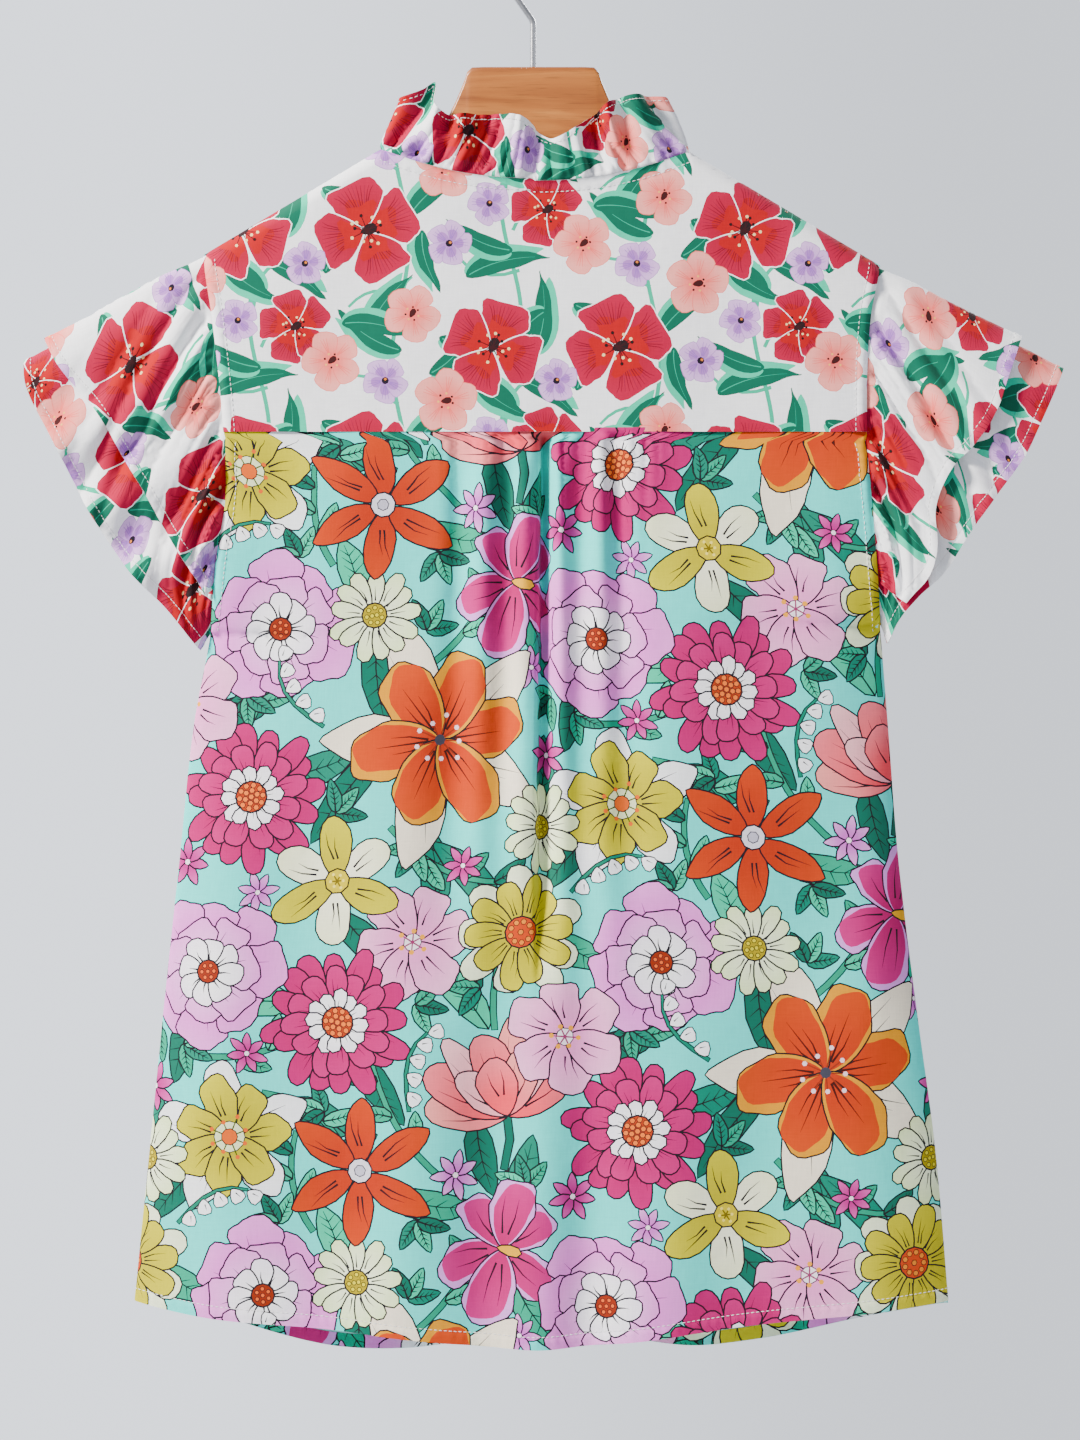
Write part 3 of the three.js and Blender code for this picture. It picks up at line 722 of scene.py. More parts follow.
class Collar:
    """The gathered stand: flat across is the length of the strip, flat up is its height."""

    fullness = 1.25  # length of the strip for each millimetre of neckline

    def __init__(self):
        base = neckline()
        length = run_length(np.linalg.norm(np.diff(base, axis=0), axis=1))
        keep = np.concatenate([[True], np.diff(length) > 1e-6])
        self.length, self.base = length[keep], base[keep]
        self.whole = self.length[-1]
        base = self.base
        across = (base[:, 0] - NECK["middle"]) / NECK["half_width"]
        share = np.minimum(1, np.abs(across))
        out = np.column_stack([
            6 * across**5 / NECK["half_width"],
            2 * base[:, 1] / NECK["half_depth"] ** 2,
            np.zeros(len(base)),
        ])
        self.out = unit(out, 0)
        front = base[:, 1] >= 0
        inward = COLLAR["lean"] * share**2 + np.where(front, 0.5 * np.sin(np.pi * share), 0)
        up = np.column_stack([-np.sign(across) * inward, np.zeros(len(base)), np.ones(len(base))])
        self.up = unit(up, 0)
        front_share = ease((base[:, 1] + NECK["half_depth"] / 2) / NECK["half_depth"])
        back_height = read(COLLAR_HEIGHT, "x", base[:, 0], "height")
        self.height = lerp(back_height, COLLAR["front_height"], front_share)
        self.lift = 0.7 + 0.6 * share**8

    def at(self, values, length):
        columns = [np.interp(length, self.length, v) for v in np.atleast_2d(values.T)]
        return np.column_stack(columns)

    def flat_height(self, across):
        return np.interp(across / self.fullness, self.length, self.height)

    def __call__(self, flat):
        length = flat[:, 0] / self.fullness
        h = flat[:, 1] / self.flat_height(flat[:, 0])
        turn = 2 * np.pi * length / self.whole
        uneven = turn * COLLAR["waves"] + 1.1 * np.sin(3 * turn) + 0.7 * np.sin(8 * turn)
        free = ease((flat[:, 1] + 0.5) / 4)  # nothing moves under the seam
        wave = 1.35 * COLLAR["wave"] * np.sin(uneven) * np.clip(h, 0, 1) ** 0.8
        slant = length + 0.45 * flat[:, 1] * np.sin(length / 37)
        above = np.maximum(0, flat[:, 1])
        tall = pleats(slant / 12.5 + 0.35 * np.sin(slant / 14)) * np.exp(-above / 42)
        tall = tall * (1 + 0.5 * np.sin(length / 10))
        gather = free * (3.2 * tall + 2.6 * gathers(slant, above, 12, 0.6))
        inside = -1.1 * (1 - ease((flat[:, 1] + 2) / 3))
        up = (self.at(self.lift, length)[:, 0] + self.at(self.height, length)[:, 0] * h)[:, None]
        rolled = stitched_band(self.flat_height(flat[:, 0]) - flat[:, 1], flat[:, 0], COLLAR_STITCH)
        out = (COLLAR["flare"] * h * h + wave + gather + rolled + inside)[:, None]
        upright, outwards = self.at(self.up, length), self.at(self.out, length)
        return self.at(self.base, length) + upright * up + outwards * out


hung_collar = Collar()
print("neckline", round(hung_collar.whole), "mm")

# %% [markdown]
# ## Drawing a print
#
# A print is a drawing of closed outlines, each in one colour or with a colour that changes from
# its centre outwards. Petals, leaves and strokes all come from one profile: a width that grows
# from the base and closes at the tip. A dark outline is the same shape grown by the width of the
# line and laid under it.


# %% Shapes that a print is drawn with
def paint(inner, outer=None, centre=(0, 0), near=0, far=1):
    """A colour, or one that turns from inner to outer with the distance from a centre."""
    return dict(
        inner=np.array(hex_colour(inner)[:3]),
        outer=np.array(hex_colour(outer or inner)[:3]),
        centre=np.array(centre, float),
        near=near,
        far=far,
    )


def turned(points, angle):
    c, s = math.cos(angle), math.sin(angle)
    return points @ np.array([[c, s], [-s, c]])


def polar(radius, angle):
    return radius * math.cos(angle), radius * math.sin(angle)


def on_layer(layer, shapes):
    return [(layer, outline, colour) for outline, colour in shapes]


def petal(length, width, widest=0.62, blunt=0.45, start=0.0, bend=0.0, points=5, ruffle=0.0):
    """Outline of a petal or leaf that grows from the origin along X, turning anticlockwise."""
    t = (1 - np.cos(np.linspace(0, np.pi, points + 2))) / 2
    rise = blunt * widest / (1 - widest)
    peak = widest**rise * (1 - widest) ** blunt
    half = width / 2 * t**rise * (1 - t) ** blunt / peak
    x = lerp(start, length, t)
    middle = bend * length * t**2
    outline = np.vstack([
        np.column_stack([x, middle - half]),
        np.column_stack([x, middle + half])[-2:0:-1],
    ])
    if ruffle:
        uneven = np.sin(1.25 * np.arange(len(outline)) + length)
        uneven *= ease((outline[:, 0] - 0.45 * length) / 6)
        outline = grown(outline, ruffle * uneven[:, None])
    return outline


def grown(points, by):
    """An outline moved outwards by a distance."""
    edge = unit(np.roll(points, -1, axis=0) - points, 1e-6)
    normal = np.column_stack([edge[:, 1], -edge[:, 0]])
    return points + unit(normal + np.roll(normal, 1, axis=0), 0.5) * by


def disc(x, y, radius, points=8):
    angle = np.arange(points) * 2 * np.pi / points
    return np.column_stack([x + radius * np.cos(angle), y + radius * np.sin(angle)])


def stroke(path, width, tip=0.15):
    """A brush stroke through a few points, as wide as stated in its first third."""
    path = np.asarray(path, float)
    way = unit(np.gradient(path, axis=0), 1e-6)
    aside = np.column_stack([way[:, 1], -way[:, 0]])
    half = width / 2 * np.linspace(1, tip, len(path))[:, None]
    return np.vstack([path + aside * half, (path - aside * half)[::-1]])


def moved(shapes, x, y, angle=0.0, size=1.0):
    """Shapes turned, sized and moved to a place."""
    result = []
    for points, colour in shapes:
        colour = dict(colour)
        colour["centre"] = turned(colour["centre"][None] * size, angle)[0] + (x, y)
        colour["near"], colour["far"] = colour["near"] * size, colour["far"] * size
        result.append((turned(points * size, angle) + (x, y), colour))
    return result


# %% [markdown]
# ## The white print
#
# Painted flowers without outlines on a white ground: broad crimson poppies, peach blossoms and
# small lavender ones on green stems with two-toned leaves. It is a generic floral of this kind,
# laid out anew.

# %% Motifs of the white print
WHITE_GROUND = "F7F7FA"
STEM_GREEN = "14AE88"


def ring_of_petals(count, outline, colour, line, width, marks=(), wobble=0.08):
    """Petals round a centre, each with a fine line round it and strokes on it."""
    shapes = []
    for n in range(count):
        angle = 2 * math.pi * n / count + wobble * math.sin(2.3 * n + 1)
        size = 1 + wobble * math.sin(3.1 * n)
        one = [(grown(outline, width), line), (outline, colour), *marks]
        shapes += moved(one, 0, 0, angle, size)
    return shapes


def poppy(petals=4):
    """Broad crimson petals with a red heart, fine streaks and a ring of stamens."""
    broad = petal(30, 33 if petals == 4 else 27, 0.72, 0.34, 2, points=13, ruffle=1.25)
    heart = petal(19, 18, 0.68, 0.4, 2, points=9, ruffle=2.2)
    marks = [(heart, paint("AC000E"))]
    for k in range(-5, 6):
        line = [(14.5 + 0.35 * abs(k), 1.25 * k), (21 + 0.2 * abs(k), 1.95 * k)]
        line.append((28 - 0.75 * abs(k), 2.45 * k))
        marks.append((stroke(line, 0.6, 0.3), paint("70001E" if k % 3 else "8A0A34")))
    crimson = paint("A20028", "AE0038", near=12, far=28)
    shapes = ring_of_petals(petals, broad, crimson, paint(WHITE_GROUND), 0.8, marks)
    shapes.append((petal(6.6, 7, start=-4.2, points=3), paint("1A0C10")))
    for n in range(13):
        angle = 2 * math.pi * n / 13 + 0.25 * math.sin(5 * n)
        tip = polar(8.6 + 1.7 * math.sin(3 * n), angle)
        shapes.append((stroke([(0, 0), tip], 0.7, 0.6), paint("30080F")))
        shapes.append((disc(*tip, 1.1, 6), paint("F2C98A" if n % 3 else "16090C")))
    return shapes


def peach_blossom():
    outline = petal(18.5, 16, 0.68, 0.38, 1, points=10, ruffle=0.7)
    lines = [(stroke([(5, 0.3 * k), (14.5, 1.9 * k)], 0.55, 0.4), paint("F0625A")) for k in (-1, 0, 1)]
    flesh = paint("F4625A", "F99A90", near=3, far=15)
    shapes = ring_of_petals(5, outline, flesh, paint("F26E66"), 0.45, lines)
    shapes.append((petal(3.8, 4.2, start=-3, points=3), paint("3A0C0E")))
    for n in range(7):
        place = polar(4.4, 2 * math.pi * n / 7 + 0.4)
        shapes.append((disc(*place, 0.8, 5), paint("F0B25A" if n % 2 else "1E0808")))
    return shapes


def violet_blossom():
    outline = petal(13, 12, 0.7, 0.34, 0.5, points=9, ruffle=0.8)
    dusk = petal(8.4, 6.6, 0.6, 0.4, 0.5, points=4, ruffle=0.6)
    lines = [(dusk, paint("A870BE"))]
    lines += [(stroke([(3, 0.5 * k), (11, 2.0 * k)], 0.5, 0.4), paint("8E58B6")) for k in (-1, 0, 1)]
    lavender = paint("C48ED6", "D6A8E2", near=4, far=12)
    shapes = ring_of_petals(5, outline, lavender, paint("AE7CC4"), 0.4, lines)
    shapes.append((disc(0, 0, 2.2, 8), paint("150C1C")))
    shapes.append((disc(0.7, 0.5, 0.9, 5), paint("D87820")))
    return shapes


def painted_leaf(length=40, width=15, bend=0.2):
    """A dark leaf whose one side turns up and shows its light reverse."""
    light = petal(length * 1.03, width * 1.12, 0.42, 0.8, 0, bend, 12, 0.35)
    light = light + (0.5, -2.2 if bend > 0 else 2.2)
    dark = petal(length * 1.05, width * 0.98, 0.4, 0.92, 0, bend * 1.25, 13, 0.6)
    t = np.linspace(0.05, 0.85, 9)
    fold = np.column_stack([length * 1.05 * t, bend * 1.25 * length * 1.05 * t**2])
    rib = (stroke(fold, 0.7, 0.2), paint("12A07E"))
    return [(light, paint("28C49C")), (dark, paint("005E47")), rib]


def painted_stem(start, end, bow, width=2.2):
    t = np.linspace(0, 1, 7)[:, None]
    start, end = np.array(start, float), np.array(end, float)
    aside = np.array([start[1] - end[1], end[0] - start[0]]) * bow
    path = lerp(start, end, t) + aside * 4 * t * (1 - t)
    return [(stroke(path, width, 0.75), paint(STEM_GREEN))]


# %% The white print's layout
WHITE_TILE = dict(width=150, height=140)
WHITE_MOTIFS = [  # kind, x, y, turn in degrees, size
    ("poppy", 33, 34, 20, 1.0),
    ("poppy", 108, 104, 64, 0.94),
    ("small poppy", 140, 46, 30, 0.72),
    ("peach", 80, 72, 10, 1.0),
    ("peach", 12, 96, 40, 0.94),
    ("peach", 60, 124, 60, 0.9),
    ("violet", 82, 26, 0, 1.0),
    ("violet", 106, 50, 33, 0.95),
    ("violet", 44, 84, 50, 1.0),
    ("violet", 146, 84, 12, 0.95),
]
WHITE_LEAVES = [  # x, y, turn in degrees, length, width
    (58, 42, 58, 38, 16),
    (6, 60, -30, 36, 14),
    (92, 6, 34, 40, 16),
    (122, 66, 128, 38, 15),
    (54, 102, 168, 36, 15),
    (76, 110, -26, 36, 14),
    (34, 112, 74, 34, 14),
    (132, 100, 62, 38, 16),
    (120, 22, 176, 34, 14),
    (98, 86, -58, 32, 14),
    (8, 8, 74, 30, 13),
    (140, 126, -150, 34, 14),
    (18, 118, 10, 34, 15),
    (70, 88, 24, 30, 13),
    (124, 84, -12, 32, 14),
    (66, 34, -96, 30, 13),
]
WHITE_STEMS = [  # x, y to x, y, bow
    (56, 20, 33, 34, 0.2),
    (56, 50, 80, 72, -0.2),
    (52, 70, 44, 84, 0.2),
    (50, 96, 12, 96, 0.25),
    (52, 112, 60, 124, 0.2),
    (54, 134, 22, 128, -0.2),
    (124, 10, 82, 26, 0.22),
    (120, 34, 140, 46, 0.2),
    (116, 62, 106, 50, 0.2),
    (120, 76, 146, 84, 0.2),
    (118, 92, 108, 104, -0.3),
    (56, 134, 60, 146, 0.2),
]
WHITE_LONG_STEMS = [(53, 5, 0.4), (119, 6, 2.4)]  # x, sway, phase; each runs through every repeat


def white_print():
    """Layers of the white print's repeat: (layer, outline, colour)."""
    kinds = {"poppy": poppy(), "small poppy": poppy(5)}
    kinds |= {"peach": peach_blossom(), "violet": violet_blossom()}
    layers = []
    for x, sway, phase in WHITE_LONG_STEMS:
        y = np.linspace(0, WHITE_TILE["height"], 22)
        path = np.column_stack([x + sway * np.sin(2 * np.pi * y / WHITE_TILE["height"] + phase), y])
        layers.append((0, stroke(path, 2.5, 1), paint(STEM_GREEN)))
    for x0, y0, x1, y1, bow in WHITE_STEMS:
        layers += on_layer(0, painted_stem((x0, y0), (x1, y1), bow))
    for n, (x, y, turn, length, width) in enumerate(WHITE_LEAVES):
        leaf = painted_leaf(1.15 * length, 0.8 * width, 0.34 if n % 2 else -0.3)
        layers += on_layer(1, moved(leaf, x, y, math.radians(turn)))
    for n, (kind, x, y, turn, size) in enumerate(WHITE_MOTIFS):
        layers += on_layer(2 + n, moved(kinds[kind], x, y, math.radians(turn), size))
    return layers


# %% [markdown]
# ## The aqua print
#
# Large garden flowers with dark ink outlines and a few ink veins, packed closely over green
# leaves on an aqua ground. The flowers here are plain garden kinds drawn from rules, in a layout
# of their own: rings of petals for the dahlias, lilies and daisies, and a fan for the tulips.

# %% Parts of an inked flower
AQUA_GROUND = "46E2D8"
INK = "15101A"
INK_LINE = 0.95  # millimetres; close to the line on the cloth, and still visible from afar


def inked(outline, colour, line=INK_LINE):
    return [(grown(outline, line), paint(INK)), (outline, colour)]


def brush(start, end, width=1.3, bow=0.0):
    """A tapering ink stroke along X, bowed a little."""
    (x0, y0), (x1, y1) = start, end
    return stroke([(x0, y0), ((x0 + x1) / 2, (y0 + y1) / 2 + bow), (x1, y1)], width, 0.08)


def inked_ring(
    count, length, width, inner, outer, start=4, widest=0.66, blunt=0.4, veins=2, turn=0.0,
    wobble=0.06, points=8, bend=0.05, ruffle=0.0,
):
    """A ring of petals with ink lines. Each petal lies over the one before it."""
    colour = paint(inner, outer, near=0.3 * length, far=length)
    shapes = []
    for n in range(count):
        size = length * (1 + wobble * math.sin(3.7 * n + 5 * turn))
        sway = bend * math.sin(2.9 * n + 0.5)
        outline = petal(size, width, widest, blunt, start, sway, points, ruffle)
        marks = inked(outline, colour)
        for k in range(veins):
            y = (k - (veins - 1) / 2) * width * 0.27
            ends = (0.34 * size, 0.5 * y), ((0.78 - 0.1 * abs(k - 1)) * size, y + bend * size * 0.5)
            vein = brush(*ends, 1.25 if count < 10 else 0.95, 0.03 * size * math.sin(n + k))
            marks.append((vein, paint(INK)))
        shapes += moved(marks, 0, 0, turn + 2 * math.pi * n / count + wobble * math.sin(2.1 * n))
    return shapes


def seed_head(radius, ground, bump_colour, rings):
    """A round centre with rings of small bumps: (share of the radius, count)."""
    shapes = inked(disc(0, 0, radius, 12), paint(ground))
    for share, count in rings:
        for n in range(count):
            angle = 2 * math.pi * n / count + share
            spot = disc(*polar(share * radius, angle), radius * 0.17, 6)
            shapes += inked(spot, paint(bump_colour), 0.5)
    return shapes


def stamens(count, reach, line_colour, head_colour, middle=0.0, head=1.3):
    shapes = []
    for n in range(count):
        angle = 2 * math.pi * (n / count - 0.5 + 0.5 / count) + middle
        tip = polar(reach * (1 + 0.18 * math.sin(4 * n)), angle)
        shapes.append((stroke([(0, 0), tip], 1.0, 0.7), paint(line_colour)))
        shapes.append((disc(*tip, head, 6), paint(head_colour)))
    return shapes


# %% Large flowers of the aqua print
def dahlia():
    return (
        inked_ring(16, 43, 13.5, "AA0056", "B80868", 10, turn=0.1, ruffle=0.5, wobble=0.08)
        + inked_ring(12, 32, 12.5, "B20460", "C01870", 8, turn=0.25, ruffle=0.4)
        + inked_ring(12, 19, 8, "FFFFFF", "F3EEF8", 6, veins=1, turn=0.1, points=3)
        + seed_head(9, "B03400", "F07018", ((0, 1), (0.42, 6), (0.78, 10)))
    )


def lily():
    """Six rounded orange petals with an amber fold, over pointed cream sepals."""
    shapes = inked_ring(
        5, 74, 29, "FBF3DA", "F0E2CC", 8, 0.5, 0.8, 2, 0.55, points=9, bend=0.12, ruffle=0.9
    )
    orange = paint("BC2E00", "C84000", near=12, far=48)
    for n in range(6):
        size = 1 + 0.07 * math.sin(3 * n)
        way = 0.1 * math.sin(2 * n + 1)
        marks = inked(petal(53 * size, 33, 0.6, 0.44, 0.5, way + 0.05, 15, 1.0), paint("D99000"))
        marks.append((petal(51 * size, 27, 0.6, 0.46, 1, way - 0.03, 15, 0.8), orange))
        for k in (-1, 0, 1):
            vein = brush((7, 1.2 * k), (29 + 9 * (k == 0), 5 * k), 1.5, 1.2 * k)
            marks.append((vein, paint("3A0D08")))
        shapes += moved(marks, 0, 0, 2 * math.pi * n / 6)
    shapes += stamens(9, 13, "8A2A10", "F4D2DC", 0.5, 1.6)
    return shapes + [(disc(0, 0, 3.4, 8), paint("3B3A48"))]


def day_lily():
    return (
        inked_ring(6, 46, 18, "B42A00", "C43A00", 4, 0.5, 0.75, 2, 0.3, points=8, bend=0.16, ruffle=0.5)
        + inked(disc(0, 0, 7, 10), paint("D8D4E0"))
        + inked(disc(0, 0, 3.2, 7), paint("B8B4C6"), 0.6)
    )


def peony():
    outer = dict(blunt=0.34, turn=0.2, wobble=0.09, points=14, ruffle=1.5)
    return (
        inked_ring(8, 43, 31, "DE62CE", "EA84DC", 8, **outer)
        + inked_ring(7, 31, 24, "F0A8E8", "EA86DC", 6, blunt=0.34, turn=0.5, points=12, ruffle=1.3)
        + inked_ring(8, 20, 13, "FFFFFF", "F6ECFA", 4, blunt=0.34, veins=1, turn=0.1, ruffle=0.5)
        + seed_head(6.5, "8C2400", "E85C10", ((0, 1), (0.6, 6)))
    )


def yellow_daisy():
    return (
        inked_ring(9, 39, 17, "F4F6DC", "E4F0C8", 8, 0.66, 0.4, 1, 0.35, ruffle=0.5)
        + inked_ring(10, 33, 14, "B4A800", "C8BE08", 6, 0.66, 0.36, 2, 0.1)
        + seed_head(9, "C83C00", "E88010", ((0, 1), (0.7, 9)))
    )


def jonquil():
    """Three yellow petals and three pale ones round a small trumpet."""
    pale = inked_ring(3, 38, 20, "F6F6D8", "ECF0C4", 1, 0.6, 0.5, 2, 1.05, bend=0.1, ruffle=0.6)
    bright = inked_ring(3, 40, 19, "B8AC00", "CCC20A", 1, 0.58, 0.55, 2, 0.0, bend=0.12, ruffle=0.5)
    trumpet = inked(disc(0, 0, 7, 9), paint("C8B400"))
    return pale + bright + trumpet + stamens(6, 4, "6A5A00", "F0DC60", head=1.0)


def yellow_flower():
    return (
        inked_ring(5, 47, 22, "FFFFFF", "F0F2F6", 8, 0.55, 0.6, 2, 0.4, points=11, ruffle=0.8)
        + inked_ring(7, 35, 20, "B0A400", "C8BE06", 0.5, 0.62, 0.42, 2, 0.1, points=12, ruffle=1.0)
        + inked(disc(0, 0, 9, 12), paint("DCE4B0"), 0.6)
        + stamens(8, 11, "3A4A00", "D85A08", head=1.4)
        + inked(disc(0, 0, 4.6, 9), paint("D85A08"), 0.6)
    )


def iris():
    shapes = []
    falls = [(205, 40, 24), (-25, 40, 24), (-90, 46, 30)]  # angle, length, width
    standards = [(128, 36, 24), (52, 36, 24), (90, 42, 27)]
    for angle, length, width in falls + standards:
        bend = 0.12 if angle > 90 else -0.12
        marks = inked(petal(length, width, 0.64, 0.4, 1, bend + 0.05, 14, 1.1), paint("D890E0"))
        inside = petal(length - 2, width * 0.82, 0.64, 0.4, 1, bend, 12, 0.6)
        marks.append((inside, paint("B00460", "C4207A", near=6, far=length)))
        for k in (-1, 1):
            marks.append((brush((9, 1.8 * k), (0.74 * length, 4.4 * k), 1.3, k), paint(INK)))
        shapes += moved(marks, 0, 0, math.radians(angle))
    return shapes + inked(petal(12, 6, start=-3, points=3), paint("E0A000"))


def tulip():
    shapes = []
    tones = [("F04050", "F4707C"), ("F46A74", "F8948E"), ("F89AA8", "F9B6BE")]
    fan = [(16, 50), (164, 50), (40, 56), (140, 56), (64, 58), (116, 58)]  # angle, length
    fan += [(90, 50), (52, 38), (128, 38), (90, 34)]
    for n, (angle, length) in enumerate(fan):
        curl = 0.14 * math.cos(math.radians(angle))
        outline = petal(length, 24 - n % 3 * 3, 0.6, 0.5, 0, curl, 9, 0.9)
        marks = inked(outline, paint(*tones[n % 3], near=12, far=length))
        for k in (-1, 1):
            vein = brush((12, 1.6 * k), (0.8 * length, 4.2 * k + curl * 20), 1.25, k)
            marks.append((vein, paint(INK)))
        shapes += moved(marks, 0, -24, math.radians(angle))
    stalk = stroke([(0, -22), (-3, -38), (-12, -54)], 4.4, 0.9)
    return inked(stalk, paint("005E4C")) + shapes


# %% Small flowers and leaves of the aqua print
def pink_blossom():
    return (
        inked_ring(6, 34, 25, "F08CCB", "F4A6D4", 1, blunt=0.34, turn=0.2, points=13, ruffle=1.2)
        + inked(disc(0, 0, 5, 9), paint("FAEAF4"), 0.6)
        + stamens(6, 7, "8C2A5C", "F0A020", head=1.6)
    )


def daisy():
    petals = inked_ring(13, 27, 9.5, "F0F8D4", "E0F2B4", 5, veins=1, turn=0.1, points=5)
    return petals + seed_head(7, "A89400", "D8C810", ((0.2, 2), (0.66, 7)))


def star_flower(inner="B0187C", outer="D850A8"):
    petals = inked_ring(7, 14.5, 5.6, inner, outer, 1, 0.46, 0.9, 0, 0.2, points=4)
    return petals + inked(disc(0, 0, 1.8, 6), paint("F8E6F2"), 0.5)


def white_bells():
    """Small white bells along an arching stem."""
    t = np.linspace(0, 1, 6)[:, None]
    arch = np.hstack([46 * t, 16 * np.sin(2.2 * t)])
    shapes = inked(stroke(arch, 2.0, 0.6), paint("007A60"), 0.7)
    for n, (x, y) in enumerate(arch[1:] + (0, -1)):
        marks = inked(petal(9, 8.6, 0.72, 0.3, 0, 0, 4), paint("FAFAFF"), 0.75)
        marks.append((brush((3, 0.6), (7, 1.4), 0.8), paint(INK)))
        shapes += moved(marks, x, y, math.radians(-110 + 16 * n))
    return shapes


def inked_leaf(length, width, green, bend=0.14):
    outline = petal(length, width, 0.42, 0.8, 0, bend, 5, 0.3)
    shapes = inked(outline, paint(green))
    t = np.linspace(0, 0.9, 4)
    rib = np.column_stack([length * t, bend * length * t * t])
    shapes.append((stroke(rib, 1.1, 0.3), paint(INK)))
    for t in (0.22, 0.38, 0.54, 0.7):
        foot = np.array([length * t, bend * length * t * t])
        reach = 0.32 * width * (1.1 - abs(t - 0.45))
        for k in (-1, 1):
            shapes.append((stroke([foot, foot + (reach * 0.9, k * reach)], 0.75, 0.3), paint(INK)))
    return shapes


# %% [markdown]
# ## Packing the aqua print
#
# The large flowers stand at places given in a repeat of 240 by 396 mm. Leaves reach out from
# behind them, and long leafy stems run under them. The gaps that are left are found by trying
# places in turn and keeping those where a small flower or a sprig still has room, with distances
# that wrap round the repeat. The repeat is a half drop: each second column is shifted by half
# its height.

# %% The aqua print's layout
AQUA_TILE = dict(width=240, height=396)
GREENS = ["007A62", "1CBE94", "006450", "009E7A"]
AQUA_MOTIFS = [  # flower, x, y, turn in degrees, radius
    (peony, 60, 142, 0, 42),
    (tulip, 200, 272, 18, 48),
    (lily, 158, 76, 8, 60),
    (iris, 204, 170, -12, 40),
    (dahlia, 46, 42, 0, 43),
    (daisy, 116, 150, 0, 27),
    (yellow_flower, 40, 236, 0, 40),
    (day_lily, 118, 216, 10, 38),
    (pink_blossom, 150, 352, 0, 32),
    (dahlia, 106, 304, 20, 43),
    (peony, 28, 334, 30, 42),
    (yellow_daisy, 214, 358, 0, 37),
    (daisy, 226, 24, 0, 27),
    (pink_blossom, 2, 98, 25, 31),
    (jonquil, 100, 388, -25, 34),
    (white_bells, 148, 252, 60, 22),
    (white_bells, 88, 84, 110, 20),
    (white_bells, 8, 184, 10, 20),
]
AQUA_STEMS = [  # x, y, turn in degrees, length, bow
    (40, 75, 50, 80, 0.12),
    (150, 120, 60, 90, -0.1),
    (60, 262, -40, 70, 0.15),
    (200, 300, 75, 80, 0.1),
    (130, 24, -20, 90, -0.14),
    (90, 180, 100, 60, 0.12),
    (170, 210, 120, 90, 0.1),
    (20, 284, 15, 80, -0.1),
]
STAR_ROOM, SPRIG_ROOM, TRIES = 14.5, 11, 2500  # radius that a small flower or a sprig needs


def drop_offsets(tile, columns, rows):
    """Places of the repeats round one repeat, for a half drop."""
    return [
        (i * tile["width"], j * tile["height"] + (i % 2) * tile["height"] / 2)
        for i in range(-columns, columns + 1)
        for j in range(-rows, rows + 1)
    ]


def free_places(placed, tile, radius, tries, seed):
    """Places in the repeat where a circle still has room. Each is added to those placed."""
    offsets = np.array(drop_offsets(tile, 1, 2))
    found = []
    size = (tile["width"], tile["height"])
    for spot in np.random.default_rng(seed).uniform((0, 0), size, (tries, 2)):
        centres = np.array([p[:2] for p in placed])
        apart = np.linalg.norm(centres[:, None] + offsets[None] - spot, axis=2).min(axis=1)
        if np.all(apart > np.array([p[2] for p in placed]) + radius):
            placed.append((*spot, radius))
            found.append(spot)
    return found


def aqua_print():
    """Layers of the aqua print's repeat: (layer, outline, colour)."""
    layers = []
    placed = []
    for n, (flower, x, y, turn, radius) in enumerate(AQUA_MOTIFS):
        layers += on_layer(3 + n, moved(flower(), x, y, math.radians(turn)))
        placed.append((x, y, 0.9 * radius))
        for k in range(1 + n % 2 if radius > 25 else 0):
            angle = 2.6 * k + 1.7 * n
            length = radius * 0.45 + 30 + 9 * math.sin(3 * k + n)
            leaf = inked_leaf(length, 18, GREENS[(n + k) % 4], 0.2)
            out_x, out_y = polar(0.6 * radius, angle)
            foot = (x + out_x, y + out_y)
            layers += on_layer(0, moved(leaf, *foot, angle + 0.5 * math.sin(n + k)))
    for x, y, turn, length, bow in AQUA_STEMS:
        turn = math.radians(turn)
        t = np.linspace(0, 1, 9)
        stem = stroke(np.column_stack([length * t, 4 * bow * length * t * (1 - t)]), 3.4, 0.7)
        layers += on_layer(0, moved(inked(stem, paint("009270"), 0.7), x, y, turn))
        for k in (0.3, 0.55, 0.8):
            leaf = inked_leaf(22, 9, GREENS[int(10 * k + x) % 4], 0.2)
            on_stem = np.array([[length * k, 4 * bow * length * k * (1 - k)]])
            foot = turned(on_stem, turn)[0] + (x, y)
            layers += on_layer(1, moved(leaf, *foot, turn + (0.8 if k > 0.5 else -0.8)))
    for n, (x, y) in enumerate(free_places(placed, AQUA_TILE, STAR_ROOM, TRIES, 4)):
        star = star_flower() if n % 3 else star_flower("C85CC4", "E49AE0")
        layers += on_layer(2, moved(star, x, y, n, 1.0 if n % 2 else 0.85))
    for n, (x, y) in enumerate(free_places(placed, AQUA_TILE, SPRIG_ROOM, TRIES, 5)):
        for k in range(3):
            leaf = inked_leaf(19, 8.5, GREENS[(n + k) % 4])
            foot = (x - 9 * math.cos(n + 0.95), y - 9 * math.sin(n + 0.95))
            layers += on_layer(1, moved(leaf, *foot, n + k * 0.95))
    return layers


